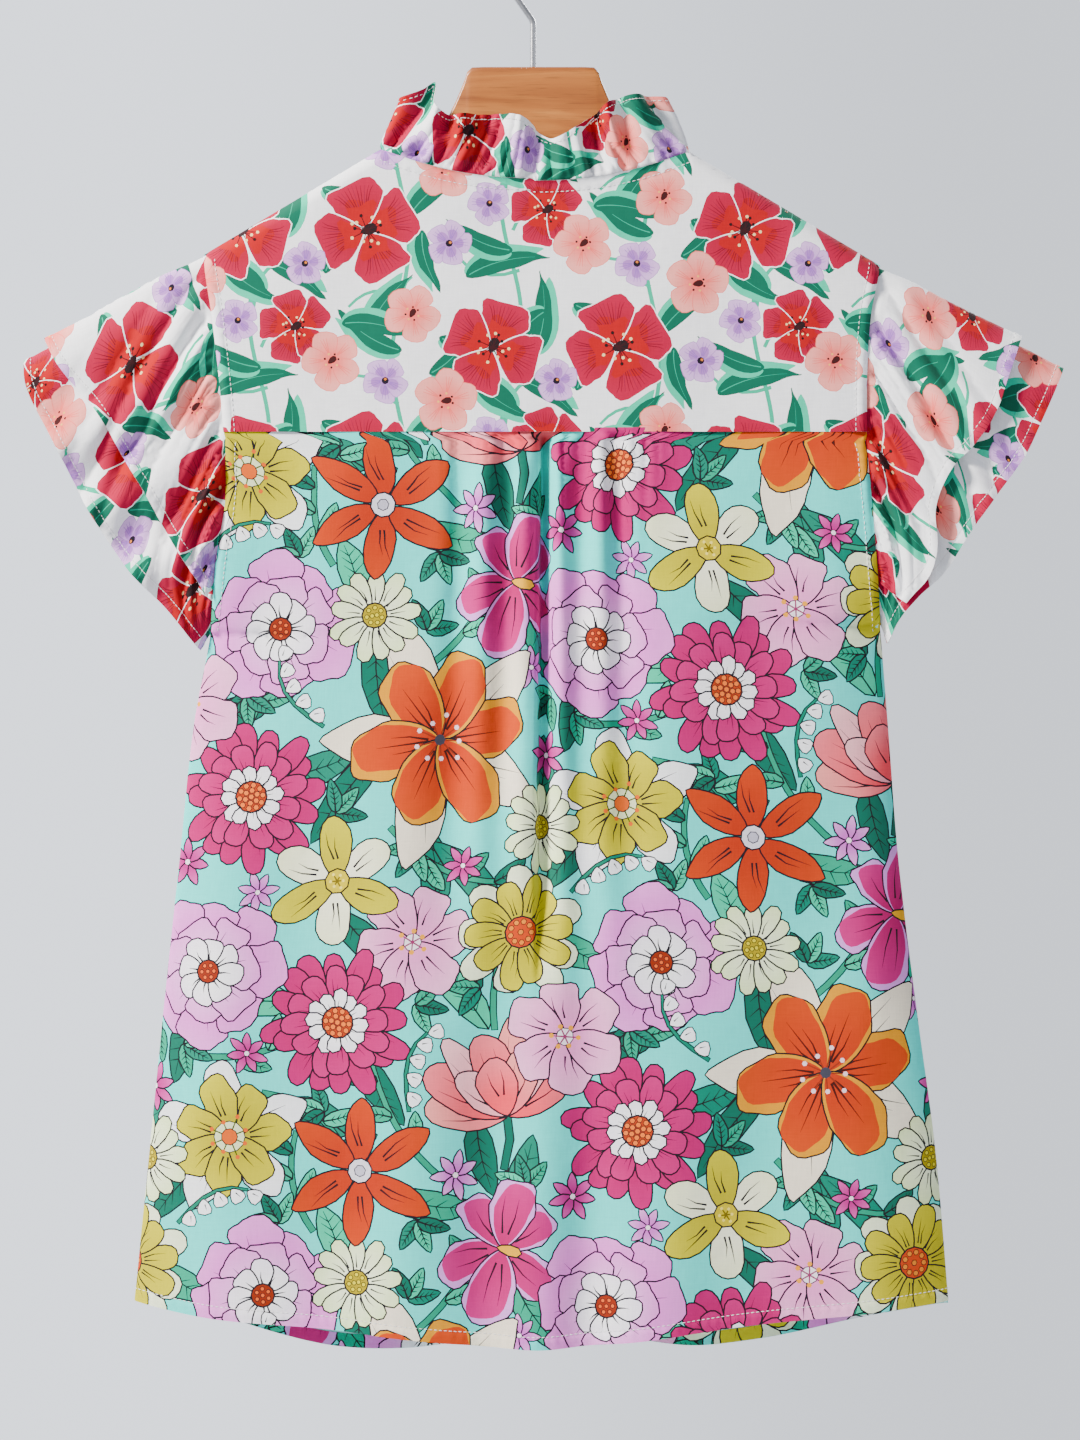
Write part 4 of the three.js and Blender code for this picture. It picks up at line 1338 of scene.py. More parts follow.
def repeated(layers, tile, low, high, turn=0.0, shift=(0, 0)):
    """All shapes of a print that touch a box of the cloth, from the lowest layer up."""
    corners = np.array([(x, y) for x in (low[0], high[0]) for y in (low[1], high[1])])
    near = turned(corners - shift, -turn)
    columns = int(np.abs(near[:, 0]).max() / tile["width"]) + 2
    rows = int(np.abs(near[:, 1]).max() / tile["height"]) + 2
    offsets = np.array(drop_offsets(tile, columns, rows))
    places = turned(offsets, turn) + shift
    shapes = []
    for _, outline, colour in sorted(layers, key=lambda layer: layer[0]):
        drawn = turned(outline, turn)
        middle = drawn.mean(axis=0)
        reach = np.sqrt(((drawn - middle) ** 2).sum(axis=1).max())
        there = places + middle
        touching = np.all((there > low - reach) & (there < high + reach), axis=1)
        centre = turned(colour["centre"][None], turn)[0]
        for place in places[touching]:
            shapes.append((drawn + place, {**colour, "centre": centre + place}))
    return shapes


WHITE_PRINT = white_print()
AQUA_PRINT = aqua_print()
print("shapes in one repeat: white", len(WHITE_PRINT), "aqua", len(AQUA_PRINT))

# %% [markdown]
# ## Printed cotton
#
# Both fabrics are cotton poplin: a fine plain weave with a soft hand, almost no shine, and a
# faint fuzz that catches light at the edges. The threads are about 0.3 mm apart, too fine to
# show, so the weave is drawn at 0.9 mm. The dye lies on the face of the cloth: on the white
# cloth the print shows through much paler, and the reverse of the aqua cloth is plain. The colour
# comes from the mesh, where each facet belongs to one printed shape.


# %% Cotton materials
def cotton(name, reverse, ground):
    """Poplin in the colours of the mesh, or its reverse, which is nearer to the ground's colour."""
    material, tree, shader = new_material(name)
    thread, slub = 0.0009, 0.012  # metres
    printed = add_node(tree, "ShaderNodeAttribute", attribute_name="print")
    flat = add_node(tree, "ShaderNodeUVMap", uv_map="cloth")
    heights = []
    for size in ((1 / thread, 1 / slub, 1), (1 / slub, 1 / thread, 1)):
        mapped = add_node(tree, "ShaderNodeMapping", {"Vector": flat.outputs["UV"], "Scale": size})
        drawn_out = {"Vector": mapped.outputs["Vector"], "Scale": 1.0, "Detail": 1.0}
        heights.append(add_node(tree, "ShaderNodeTexNoise", drawn_out).outputs["Fac"])
    weave = add_node(tree, "ShaderNodeMath", dict(enumerate(heights)), operation="ADD")
    uv, raised = flat.outputs["UV"], weave.outputs["Value"]
    handled = {"Vector": uv, "Scale": 26.0, "Detail": 3.0, "Roughness": 0.55}
    crease = add_node(tree, "ShaderNodeTexNoise", handled).outputs["Fac"]
    fine = add_node(tree, "ShaderNodeBump", {"Strength": 0.22, "Distance": 0.0002, "Height": raised})
    deep = {"Strength": 0.25, "Distance": 0.004, "Height": crease, "Normal": fine.outputs["Normal"]}
    soft = add_node(tree, "ShaderNodeBump", deep)
    tree.links.new(soft.outputs["Normal"], shader.inputs["Normal"])
    taken = {"Value": raised, "From Min": 0.6, "From Max": 1.4, "To Min": 0.93, "To Max": 1.04}
    uneven = add_node(tree, "ShaderNodeMapRange", taken)
    dye = {"Factor": 1.0, "A": printed.outputs["Color"], "B": uneven.outputs["Result"]}
    dyed = add_node(tree, "ShaderNodeMix", dye, data_type="RGBA", blend_type="MULTIPLY")
    colour = dyed.outputs["Result"]
    if reverse:
        through = {"Factor": 0.55, "A": colour, "B": hex_colour(ground)}
        colour = add_node(tree, "ShaderNodeMix", through, data_type="RGBA").outputs["Result"]
    tree.links.new(colour, shader.inputs["Base Color"])
    shader.inputs["Roughness"].default_value = 0.82
    shader.inputs["Specular IOR Level"].default_value = 0.15
    shader.inputs["Sheen Weight"].default_value = 0.05
    shader.inputs["Sheen Roughness"].default_value = 0.6
    return material


COTTONS = {
    "white": dict(print=WHITE_PRINT, tile=WHITE_TILE, ground=WHITE_GROUND, reverse="EDEBEF"),
    "aqua": dict(print=AQUA_PRINT, tile=AQUA_TILE, ground=AQUA_GROUND, reverse="CFE9E6"),
}
SHOWS_THROUGH = {"white": True, "aqua": False}  # does the reverse show the print?
for fabric, stuff in COTTONS.items():
    stuff["shows_through"] = SHOWS_THROUGH[fabric]
    stuff["faces"] = (
        cotton(f"{fabric}-ground cotton poplin, printed face", False, stuff["ground"]),
        cotton(f"{fabric}-ground cotton poplin, reverse", True, stuff["reverse"]),
    )

# %% [markdown]
# ## From a flat drawing to a hung shell
#
# The outlines of the cut piece and of every printed shape are cut with one another. The borders
# that can be seen are kept and triangulated again, with points that let the cloth bend. Each
# triangle belongs to the topmost shape that covers it, so a petal's edge is a true edge. The
# points are carried to their places in space, and a second layer of them makes a thin closed
# shell, with a printed face and a reverse. The normals come from the form itself, not from the
# facets, so the light runs smoothly over them.

# %% Points and edges of the flat cloth
CLOTH = 0.5  # millimetres, thickness of the cotton as modelled
SINK, SINK_OVER = 0.9, 14  # how far a plain reverse lies deeper, and from where on it does
NORMAL_STEP = (0.3, 0.3)  # millimetres between the places that a normal is measured from
CLOSE = 1e-3  # outline points nearer than this are one
STITCH_STEP = 3.0
sewn = []  # lines of topstitching: (place, flat line, facing)


def area_of(outline):
    x, y = outline.T
    return 0.5 * float(np.sum(x * np.roll(y, -1) - np.roll(x, -1) * y))


def along_edge(edge, inset, spacing):
    """Evenly spaced points along a line, moved to its left."""
    length = run_length(np.hypot(*np.diff(edge, axis=0).T))
    s = np.arange(spacing / 2, length[-1], spacing)
    points = np.column_stack([np.interp(s, length, edge[:, k]) for k in (0, 1)])
    way = unit(np.gradient(points, axis=0))
    return points + np.column_stack([-way[:, 1], way[:, 0]]) * inset


def grid(low, high, step):
    """Points of a triangular grid over a box."""
    row_share = 0.87  # height of a triangle for a side of one
    rows = []
    for n, y in enumerate(np.arange(low[1], high[1], step * row_share)):
        x = np.arange(low[0] + step / 2 * (n % 2), high[0], step)
        rows.append(np.column_stack([x, np.full_like(x, y)]))
    return np.vstack(rows)


def within(points, outline):
    """Which points lie inside an outline."""
    x, y = points[:, :1], points[:, 1:]
    x0, y0 = outline[None, :, 0], outline[None, :, 1]
    x1, y1 = np.roll(x0, -1, axis=1), np.roll(y0, -1, axis=1)
    rise = np.where(y1 == y0, 1e-9, y1 - y0)
    crosses = ((y0 > y) != (y1 > y)) & (x < (x1 - x0) * (y - y0) / rise + x0)
    return crosses.sum(axis=1) % 2 == 1


def as_vectors(points):
    return [Vector(p) for p in points.tolist()]


def all_edges(triangles):
    return np.vstack([triangles[:, [0, 1]], triangles[:, [1, 2]], triangles[:, [2, 0]]])


def seen_borders(triangles, code, count):
    """Edges that part two codes, or that lie at the outside."""
    edges, codes = all_edges(triangles), np.tile(code, 3)
    key, twin = edges[:, 0] * count + edges[:, 1], edges[:, 1] * count + edges[:, 0]
    order = np.argsort(key)
    place = np.minimum(np.searchsorted(key[order], twin), len(key) - 1)
    found = key[order][place] == twin
    across = np.where(found, codes[order][place], -1)
    return edges[(codes != across) & ((edges[:, 0] < edges[:, 1]) | ~found)]


def colour_codes(shapes, ground):
    """A number for each shape. Shapes in one flat colour share theirs, as no border shows there."""
    codes, known = [0], {tuple(hex_colour(ground)[:3]): 0}
    for n, (_, colour) in enumerate(shapes, 1):
        plain = np.array_equal(colour["inner"], colour["outer"])
        codes.append(known.setdefault(tuple(colour["inner"]), n) if plain else n)
    return np.array(codes)


def straightened(flat, edges, rounds=4, slack=0.012):
    """The borders without the points that lie on a straight run."""
    for _ in range(rounds):
        ends = np.bincount(edges.ravel(), minlength=len(flat))
        order = np.argsort(edges.ravel(), kind="stable")
        other = edges[:, ::-1].ravel()[order]
        first = np.cumsum(ends) - ends
        simple = np.flatnonzero(ends == 2)
        a, b = other[first[simple]], other[first[simple] + 1]
        run = flat[b] - flat[a]
        span = np.maximum(np.hypot(*run.T), 1e-9)
        away = flat[simple] - flat[a]
        bow = np.abs(run[:, 0] * away[:, 1] - run[:, 1] * away[:, 0]) / span
        loose = np.zeros(len(flat), bool)
        loose[simple[(bow < slack) & (a != b) & ((away * run).sum(axis=1) > 0)]] = True
        lowest = loose[simple] & ~(loose[a] & (a < simple)) & ~(loose[b] & (b < simple))
        gone = np.zeros(len(flat), bool)
        gone[simple[lowest]] = True
        edges = np.vstack([edges[~gone[edges].any(axis=1)], np.column_stack([a, b])[lowest]])
    return edges


def shortened(points, edges, most=4.5):
    """The same lines with points put in, so that long straight strokes bend with the cloth."""
    start, run = points[edges[:, 0]], points[edges[:, 1]] - points[edges[:, 0]]
    parts = np.ceil(np.hypot(*run.T) / most).astype(int)
    extra, pairs = [], [edges[parts <= 1]]
    count = len(points)
    for n in np.flatnonzero(parts > 1):
        steps = np.arange(1, parts[n])
        extra.append(start[n] + run[n] * steps[:, None] / parts[n])
        chain = np.concatenate([edges[n, :1], count + steps - 1, edges[n, 1:]])
        pairs.append(np.column_stack([chain[:-1], chain[1:]]))
        count += len(steps)
    return np.vstack([points, *extra]), np.vstack(pairs)


# %% Cut the print into triangles
def filled(corners, edges, cover_points, cover):
    """Triangles between edges that lie on a covering mesh, and the covering triangle under each."""
    sliver, on_cover = 0.0005, 0.002  # square millimetres, millimetres
    flat, _, found, origins, _, _ = delaunay_2d_cdt(
        as_vectors(corners), edges.tolist(), [], 0, CLOSE, True
    )
    flat, triangles = np.array([v[:] for v in flat]), np.array([t[:3] for t in found])
    one, two = (cover_points[cover[:, k]] - cover_points[cover[:, 0]] for k in (1, 2))
    sound = np.flatnonzero(np.abs(one[:, 0] * two[:, 1] - one[:, 1] * two[:, 0]) > sliver)
    places = [(x, y, 0) for x, y in cover_points.tolist()]
    tree = BVHTree.FromPolygons(places, cover[sound].tolist())
    hits = [tree.find_nearest((x, y, 0)) for x, y in flat[triangles].mean(axis=1).tolist()]
    inside = np.array([hit[3] < on_cover for hit in hits])
    return flat, triangles[inside], sound[[hit[2] for hit in hits]][inside], origins


def triangulated(outline, shapes, points, ground):
    """Triangles of the flat cloth, and the topmost shape of each (0 is the bare ground).

    First all shapes are cut with one another. Only the borders that can be seen are kept, and
    these are triangulated again together with the points that let the cloth bend.
    """
    polygons = [outline] + [shape[0] for shape in shapes]
    starts = np.cumsum([0] + [len(polygon) for polygon in polygons])
    faces = [list(range(a, b)) for a, b in zip(starts[:-1], starts[1:])]
    verts, _, found, _, _, origins = delaunay_2d_cdt(
        as_vectors(np.vstack(polygons)), [], faces, 0, CLOSE, True
    )
    top = np.array([max(ids) if 0 in ids else -1 for ids in origins])
    whole, top = np.array([t[:3] for t in found])[top >= 0], top[top >= 0]
    verts = np.array([v[:] for v in verts])
    edges = seen_borders(whole, colour_codes(shapes, ground)[top], len(verts))
    used, edges = np.unique(straightened(verts, edges), return_inverse=True)
    corners, edges = shortened(verts[used], edges.reshape(-1, 2))
    flat, triangles, under, _ = filled(np.vstack([corners, points]), edges, verts, whole)
    return flat, triangles, top[under]


def unprinted(flat, triangles, border, points):
    """Triangles of the bare reverse, and for each face vertex on the border its own vertex there."""
    used, edges = np.unique(border, return_inverse=True)
    corners = np.vstack([flat[used], points])
    rear, found, _, origins = filled(corners, edges.reshape(-1, 2), flat, triangles)
    twin = np.zeros(len(flat), int)
    for n, sources in enumerate(origins):
        for source in sources:
            if source < len(used):
                twin[used[source]] = n
    return rear, found, twin


def inside_border(flat, border):
    """How far each point lies from the nearest border point."""
    tree = KDTree(len(border))
    for n, (x, y) in enumerate(flat[border[:, 0]].tolist()):
        tree.insert((x, y, 0), n)
    tree.balance()
    return np.array([tree.find((x, y, 0))[2] for x, y in flat.tolist()])


# %% The shell and its topstitching
def printed_colours(corners, top, shapes, ground):
    """The colour at each corner of each triangle."""
    paints = [paint(ground)] + [shape[1] for shape in shapes]
    inner, outer, centre, near, far = (
        np.array([p[key] for p in paints])[top] for key in ("inner", "outer", "centre", "near", "far")
    )
    away = np.linalg.norm(corners - centre[:, None], axis=2)
    share = np.clip((away - near[:, None]) / (far - near)[:, None], 0, 1)[..., None]
    return lerp(inner[:, None], outer[:, None], share)


def cloth(name, place, outline, fabric, points, facing=1, turn=0.0, shift=(0, 0)):
    """A printed shell of cloth with its reverse, from a flat outline and a way to hang it."""
    stuff = COTTONS[fabric]
    bare = hex_colour(stuff["ground"])[:3]
    low, high = outline.min(axis=0), outline.max(axis=0)
    shapes = repeated(stuff["print"], stuff["tile"], low, high, turn, np.array(shift, float))
    points = np.vstack(points)
    points = points[within(points, outline)]
    flat, triangles, top = triangulated(outline, shapes, points, stuff["ground"])
    count = len(flat)
    border = seen_borders(triangles, np.zeros(len(triangles), int), count)
    colours = printed_colours(flat[triangles], top, shapes, stuff["ground"])
    if stuff["shows_through"]:
        rear_flat, rear, twin, rear_colours = flat, triangles, np.arange(count), colours
    else:
        rear_flat, rear, twin = unprinted(flat, triangles, border, points)
        rear_colours = np.tile(bare, (len(rear), 3, 1))
    shell, normals = [], []
    for side, there in ((1, flat), (-1, rear_flat)):
        inwards = lerp(there, outline.mean(axis=0), 0.006)
        normal = facing * side * normals_of(place, inwards, NORMAL_STEP)
        thick = CLOTH / 2
        if side < 0 and not stuff["shows_through"]:  # its coarser facets stay behind the printed ones
            thick += SINK * ease(inside_border(there, twin[border]) / SINK_OVER)[:, None]
        shell.append(place(there) + normal * thick)
        normals.append(normal)
    rim = np.column_stack([border[:, ::-1], twin[border] + count])
    rim_colours = np.tile(bare, (len(rim), 4, 1))
    faces = [triangles, rear[:, ::-1] + count, rim]
    tones = [colours, rear_colours[:, ::-1], rim_colours]
    if facing < 0:
        faces, tones = [f[:, ::-1] for f in faces], [t[:, ::-1] for t in tones]
    all_faces = [face for part in faces for face in part.tolist()]
    piece = new_piece(name, np.vstack(shell), all_faces, *stuff["faces"])
    mesh = piece.data
    inner = np.zeros(len(mesh.polygons), int)
    inner[len(triangles) : len(triangles) + len(rear)] = 1
    mesh.polygons.foreach_set("material_index", inner)
    mesh.polygons.foreach_set("use_smooth", np.ones(len(inner), bool))
    loops = np.empty(len(mesh.loops), int)
    mesh.loops.foreach_get("vertex_index", loops)
    tones = np.vstack([t.reshape(-1, 3) for t in tones])
    attribute = mesh.color_attributes.new("print", "FLOAT_COLOR", "CORNER")
    attribute.data.foreach_set("color", np.column_stack([tones, np.ones(len(tones))]).ravel())
    uv = mesh.uv_layers.new(name="cloth")
    uv.data.foreach_set("uv", (np.vstack([flat, rear_flat])[loops] * MM).ravel())
    mesh.normals_split_custom_set_from_vertices(np.vstack(normals).tolist())
    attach(piece, "root")
    size = (high - low) * MM
    print(f"{name}: {len(triangles)} + {len(rear)} facets, {len(shapes)} shapes, cut", size.round(3), "m")
    return piece, size, area_of(outline) * MM * MM


def topstitch(place, edge, inset, facing=1):
    """Remember a line of topstitching, at a distance inside an edge."""
    sewn.append((place, along_edge(edge, inset, STITCH_STEP), facing))


# %% [markdown]
# ## Yoke, back and front
#
# The white yoke covers the shoulders and is stitched down beside the neck and the armholes. The
# back panel hangs from it, gathered at the centre. The front is one panel with a round neck and a
# slit. Every stitched edge is a folded band that stands up a little and puckers between stitches.


# %% Edges of the panels
# Rows of points beside an edge, so that the cloth can bend there: millimetres inside the edge.
SHOULDER_ROWS = (0.3, 1, 2, 3.5, 5.5, 8)
ARMHOLE_ROWS = (0.6, 1.6, 3, 5.4, 6.6, 7.8, 10)
HEM_ROWS = (1, 4, 6.3, 7.5, 8.7, 11)
ARMHOLE_LOW = -436  # the rows beside the armhole end here
YOKE_LAP = 2.5  # the back reaches this far under the yoke


def sides(z_low, z_high, count):
    """The two side edges of the body, each from the bottom up."""
    z = np.linspace(z_low, z_high, count)
    return np.column_stack([left_edge(z), z]), np.column_stack([right_edge(z), z])


def armhole_points(left, right):
    """Rows of points beside both armholes."""
    return [
        along_edge(edge[edge[:, 1] > ARMHOLE_LOW], side * d, 2.6)
        for edge, side in ((left, -1), (right, 1))
        for d in ARMHOLE_ROWS
    ]


def stitch_armholes(place, left, right, facing=1, highest=0):
    """Topstitching along both armholes, from just under each up to a height."""
    for edge, under in ((right, ARMHOLE["right"]), (left, ARMHOLE["left"])):
        line = edge[(edge[:, 1] > under - 4) & (edge[:, 1] < highest)]
        topstitch(place, line if edge is right else line[::-1], EDGE_STITCH, facing)


# %% The yoke
left, right = sides(YOKE_SEAM, -205, 30)
top_x = np.linspace(BODY[0]["left"], BODY[0]["right"], 150)
top_x = np.unique(np.concatenate([top_x, NECK_ENDS]))[::-1]
top_line = np.column_stack([top_x, back_top(top_x)])
bottom_x = np.linspace(left_edge(YOKE_SEAM), right_edge(YOKE_SEAM), 120)
bottom = np.column_stack([bottom_x, np.full(120, YOKE_SEAM)])
left = left[left[:, 1] < ridge_z(BODY[0]["left"])]
right = right[right[:, 1] < ridge_z(BODY[0]["right"])]
yoke_outline = np.vstack([bottom, right[1:], top_line, left[:0:-1]])
yoke_points = [grid((-200, YOKE_SEAM), (212, -130), 6)]
yoke_points += [along_edge(top_line, d, 5) for d in SHOULDER_ROWS]
yoke_points += armhole_points(left, right)
neck_line = top_line[(top_line[:, 0] < 93) & (top_line[:, 0] > -91)]
yoke_points += [along_edge(neck_line, d, 2.6) for d in ARMHOLE_ROWS[3:]]
yoke, size, area = cloth("yoke", hung_yoke, yoke_outline, "white", yoke_points, shift=(18, -12))
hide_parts("back_yoke")
topstitch(hung_yoke, neck_line, EDGE_STITCH)
stitch_armholes(hung_yoke, left, right)

# %% The gathered back
left, right = sides(HEM_SIDE, YOKE_SEAM + YOKE_LAP, 70)
hem_x = np.linspace(left_edge(HEM_SIDE), right_edge(HEM_SIDE), 150)
hem_line = np.column_stack([hem_x, read(HEM, "x", hem_x, "back")])
top_x = np.linspace(left_edge(YOKE_SEAM), right_edge(YOKE_SEAM), 160)[::-1]
top_line = np.column_stack([top_x, np.full(160, YOKE_SEAM + YOKE_LAP)])


def flattened(line):
    return np.array([(hung_back.flat_of(x, z), z) for x, z in line])


hem_flat, left_flat, right_flat, top_flat = map(flattened, (hem_line, left, right, top_line))
back_outline = np.vstack([hem_flat, right_flat[1:], top_flat[1:-1], left_flat[:0:-1]])
back_points = [
    grid((-260, -860), (270, YOKE_SEAM), 7),  # the whole panel
    grid((-90, -352), (115, YOKE_SEAM + 3), 1.9),  # the gathers
    grid((-14, -660), (26, -352), 2.0),  # the tuck
    grid((-80, -400), (90, -352), 3.4),  # the long folds, near and far
    grid((-75, -700), (85, -400), 5),
]
back_points += [along_edge(hem_flat, d, 3) for d in HEM_ROWS]
back_points += armhole_points(left_flat, right_flat)
back, size, area = cloth("back", hung_back, back_outline, "aqua", back_points, shift=(12, 26))
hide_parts("back_panel")
topstitch(hung_back, hem_flat, HEM_STITCH)
stitch_armholes(hung_back, left_flat, right_flat, highest=YOKE_SEAM - 5)

# %% [markdown]
# ## The hem allowances
#
# A hem is turned up to the inside, so a strip of the printed face shows on the inner side. Under
# the back hem the photo's view looks onto the inside of the longer front, where this strip shows.


# %% Turned-up hems
class TurnedUp:
    """A strip that lies on the inside of a panel."""

    def __init__(self, place, inwards):
        self.place, self.inwards = place, np.array([0, inwards, 0])

    def __call__(self, flat):
        return self.place(flat) + self.inwards


def hem_strip(name, place, edge, inwards, facing, shift):
    upper = edge[::-1] + (0, HEM_STITCH + 1)
    lower = edge[2:-2] + (0, 0.3)
    outline = np.vstack([lower, upper[2:-2]])
    points = [along_edge(lower, d, 4) for d in (2, 4, 6)]
    strip, _, _ = cloth(name, TurnedUp(place, inwards), outline, "aqua", points, facing, shift=shift)
    return strip


back_turn = hem_strip("back_hem_allowance", hung_back, hem_flat, 0.9, -1, (90, 60))

# %% The front
left, right = sides(HEM_SIDE, ridge_z(BODY[0]["left"]) - 0.5, 80)
right = right[right[:, 1] < ridge_z(BODY[0]["right"])]
hem_line = np.column_stack([hem_x, read(HEM, "x", hem_x, "front")])
split = (SPLIT["middle"] + SPLIT["half_width"], SPLIT["middle"], SPLIT["middle"] - SPLIT["half_width"])
neck_x = np.linspace(BODY[0]["left"], BODY[0]["right"], 200)
neck_x = neck_x[(neck_x <= split[2] - 1) | (neck_x >= split[0] + 1)]
top_x = np.unique(np.concatenate([neck_x, split, NECK_ENDS]))[::-1]
top_line = np.column_stack([top_x, front_top(top_x)])
front_outline = np.vstack([hem_line, right[1:], top_line, left[:0:-1]])
front_points = [grid((-260, -866), (270, -140), 7)]
front_points += [along_edge(top_line, d, 5) for d in SHOULDER_ROWS]
front_points += [along_edge(hem_line, d, 3) for d in HEM_ROWS]
front_points += armhole_points(left, right)
front, size, area = cloth("front", hung_front, front_outline, "aqua", front_points, -1, shift=(70, 130))
front_turn = hem_strip("front_hem_allowance", hung_front, hem_line, -0.9, 1, (150, 200))
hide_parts("front_panel")
topstitch(hung_front, hem_line, HEM_STITCH, -1)
stitch_armholes(hung_front, left, right, -1)

# %% [markdown]
# ## Flutter sleeves
#
# The lower tier runs all round the arm and the upper one lies over it, open underneath. Both are
# gathered into the armhole, and both start a little inside the body's edge, as a sewn seam does.

# %% The four sleeve tiers
FINE_TO, CREASED_TO = 28, 70  # the gathers and the creases reach this far out

for hand, turn in (("left", 0.35), ("right", -0.35)):
    for tier, upper in (("lower", False), ("upper", True)):
        hung = SleeveTier(hand, upper)
        armhole, hem = hung.edges()
        outline = np.vstack([armhole, hem])
        low, high = outline.min(axis=0), outline.max(axis=0)
        points = [grid(low, high, 6), grid(low, (high[0], FINE_TO), 1.9)]
        points += [grid((low[0], FINE_TO), (high[0], CREASED_TO), 3.2)]
        points += [along_edge(hem, d, 2.8) for d in (1, 3.6, SLEEVE_STITCH, 5.6, 8)]
        facing = 1 if hand == "right" else -1
        shift = (20 if upper else 70, 10 if hand == "left" else 80)
        name = f"sleeve_{tier}_{hand}_cloth"
        piece, size, area = cloth(name, hung, outline, "white", points, facing, turn, shift)
        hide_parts(f"sleeve_{tier}_{hand}")
        topstitch(hung, hem, SLEEVE_STITCH, facing)

# %% [markdown]
# ## The ruffled collar
#
# A straight strip, about a quarter longer than the neckline, is gathered onto it and stands up.
# Its free edge is rolled and stitched, and falls into waves because it is longer than its foot.

# %% The collar
length = np.linspace(0, hung_collar.whole * hung_collar.fullness, 420)
foot = np.column_stack([length, np.full(420, -4.0)])
rim = np.column_stack([length, hung_collar.flat_height(length)])[::-1]
collar_outline = np.vstack([foot, rim])
low, high = collar_outline.min(axis=0), collar_outline.max(axis=0)
collar_points = [grid(low, high, 2.0)]
collar_points += [along_edge(rim, d, 2.6) for d in (0.8, 1.9, COLLAR_STITCH, 3.8, 5.5)]
collar, size, area = cloth(
    "collar_ruffle", hung_collar, collar_outline, "white", collar_points, shift=(40, 60)
)
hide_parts("collar")
topstitch(hung_collar, rim, COLLAR_STITCH)

# %% [markdown]
# ## Topstitching
#
# A lockstitch shows as short thread bars with a small gap between them, 3 mm from one to the
# next. One bar is modelled from a sphere that is drawn out and flattened, and each line of
# stitching is filled with copies of it, turned to lie on the cloth.

# %% One stitch, and all the seams
bpy.ops.object.select_all(action="DESELECT")
bpy.ops.mesh.primitive_uv_sphere_add(segments=6, ring_count=4, radius=1.1 * MM, location=(0, 0, 0))
stitch = bpy.context.object
bpy.ops.object.mode_set(mode="EDIT")
bpy.ops.mesh.select_all(action="SELECT")
bpy.ops.transform.rotate(value=math.pi / 2, orient_axis="Y", center_override=(0, 0, 0))
bpy.ops.transform.resize(value=(1, 0.24, 0.2), center_override=(0, 0, 0))
bpy.ops.object.mode_set(mode="OBJECT")
bar = np.array([v.co[:] for v in stitch.data.vertices]) / MM
bar_faces = [tuple(f.vertices) for f in stitch.data.polygons]
bpy.data.objects.remove(stitch)

PROUD = 0.08  # millimetres that a stitch's middle stands above the cloth
stitch_points, stitch_faces = [], []
for place, line, facing in sewn:
    at = place(line)
    normal = facing * normals_of(place, line, NORMAL_STEP)
    way = np.gradient(at, axis=0)
    way = unit(way - normal * np.sum(way * normal, axis=1, keepdims=True))
    aside = np.cross(normal, way)
    at = at + normal * (CLOTH / 2 + PROUD)
    for p, a, b, c in zip(at, way, aside, normal):
        first = len(stitch_points) * len(bar)
        stitch_points.append(p + bar[:, :1] * a + bar[:, 1:2] * b + bar[:, 2:] * c)
        stitch_faces += [tuple(i + first for i in face) for face in bar_faces]

thread, thread_tree, thread_shader = new_material("white polyester sewing thread")
twist = add_node(thread_tree, "ShaderNodeTexCoord")
wound = {"Vector": twist.outputs["Object"], "Scale": 1800.0}
strands = add_node(thread_tree, "ShaderNodeTexNoise", wound).outputs["Fac"]
shade = add_node(thread_tree, "ShaderNodeMapRange", {"Value": strands, "To Min": 0.8, "To Max": 1.0})
dye = {"Factor": 1.0, "A": hex_colour("F3F1F0"), "B": shade.outputs["Result"]}
tint = add_node(thread_tree, "ShaderNodeMix", dye, data_type="RGBA", blend_type="MULTIPLY")
thread_tree.links.new(tint.outputs["Result"], thread_shader.inputs["Base Color"])
thread_shader.inputs["Roughness"].default_value = 0.5
stitching = new_piece("topstitching", np.vstack(stitch_points), stitch_faces, thread)
stitching.data.polygons.foreach_set("use_smooth", np.ones(len(stitch_faces), bool))
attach(stitching, "root")
print("stitches", len(stitch_points))

# %% [markdown]
# ## The wooden hanger
#
# The hanger is cut from a board 12 mm thick: a flat-topped neck that slopes into two arms. It is
# modelled as a block for half the neck, whose outer end is extruded from station to station along
# the arm. A mirror makes the other half, and a bevel rounds the long edges, as a router does.

# %% Sizes of the hanger
BOARD = dict(thickness=12, rounding=3.4)
NECK_BLOCK, NECK_TOP = 30, -89
ARM_TOP = [  # x, height of the upper edge
    (36.6, -89.3),
    (39.4, -92),
    (40.8, -96.5),
    (43, -101.8),
    (46, -109),
    (50.2, -117.6),
    (56.4, -126),
    (65, -133.4),
    (75.5, -139.8),
    (88, -146),
    (104, -151.6),
    (120, -156.6),
    (150, -174.5),
    (178, -191.2),
    (185, -197),
    (187.6, -202),
]
# The lower edge is one curve from under the neck, drawn towards a middle point, to the arm's end.
sweep = np.linspace(1, 0, 60)[:, None]
lower_edge = sweep**2 * (0, -152) + 2 * sweep * (1 - sweep) * (95, -178)
lower_edge = lower_edge + (1 - sweep) ** 2 * (187.6, -209)


def board_bottom(x):
    return float(np.interp(x, lower_edge[:, 0], lower_edge[:, 1]))


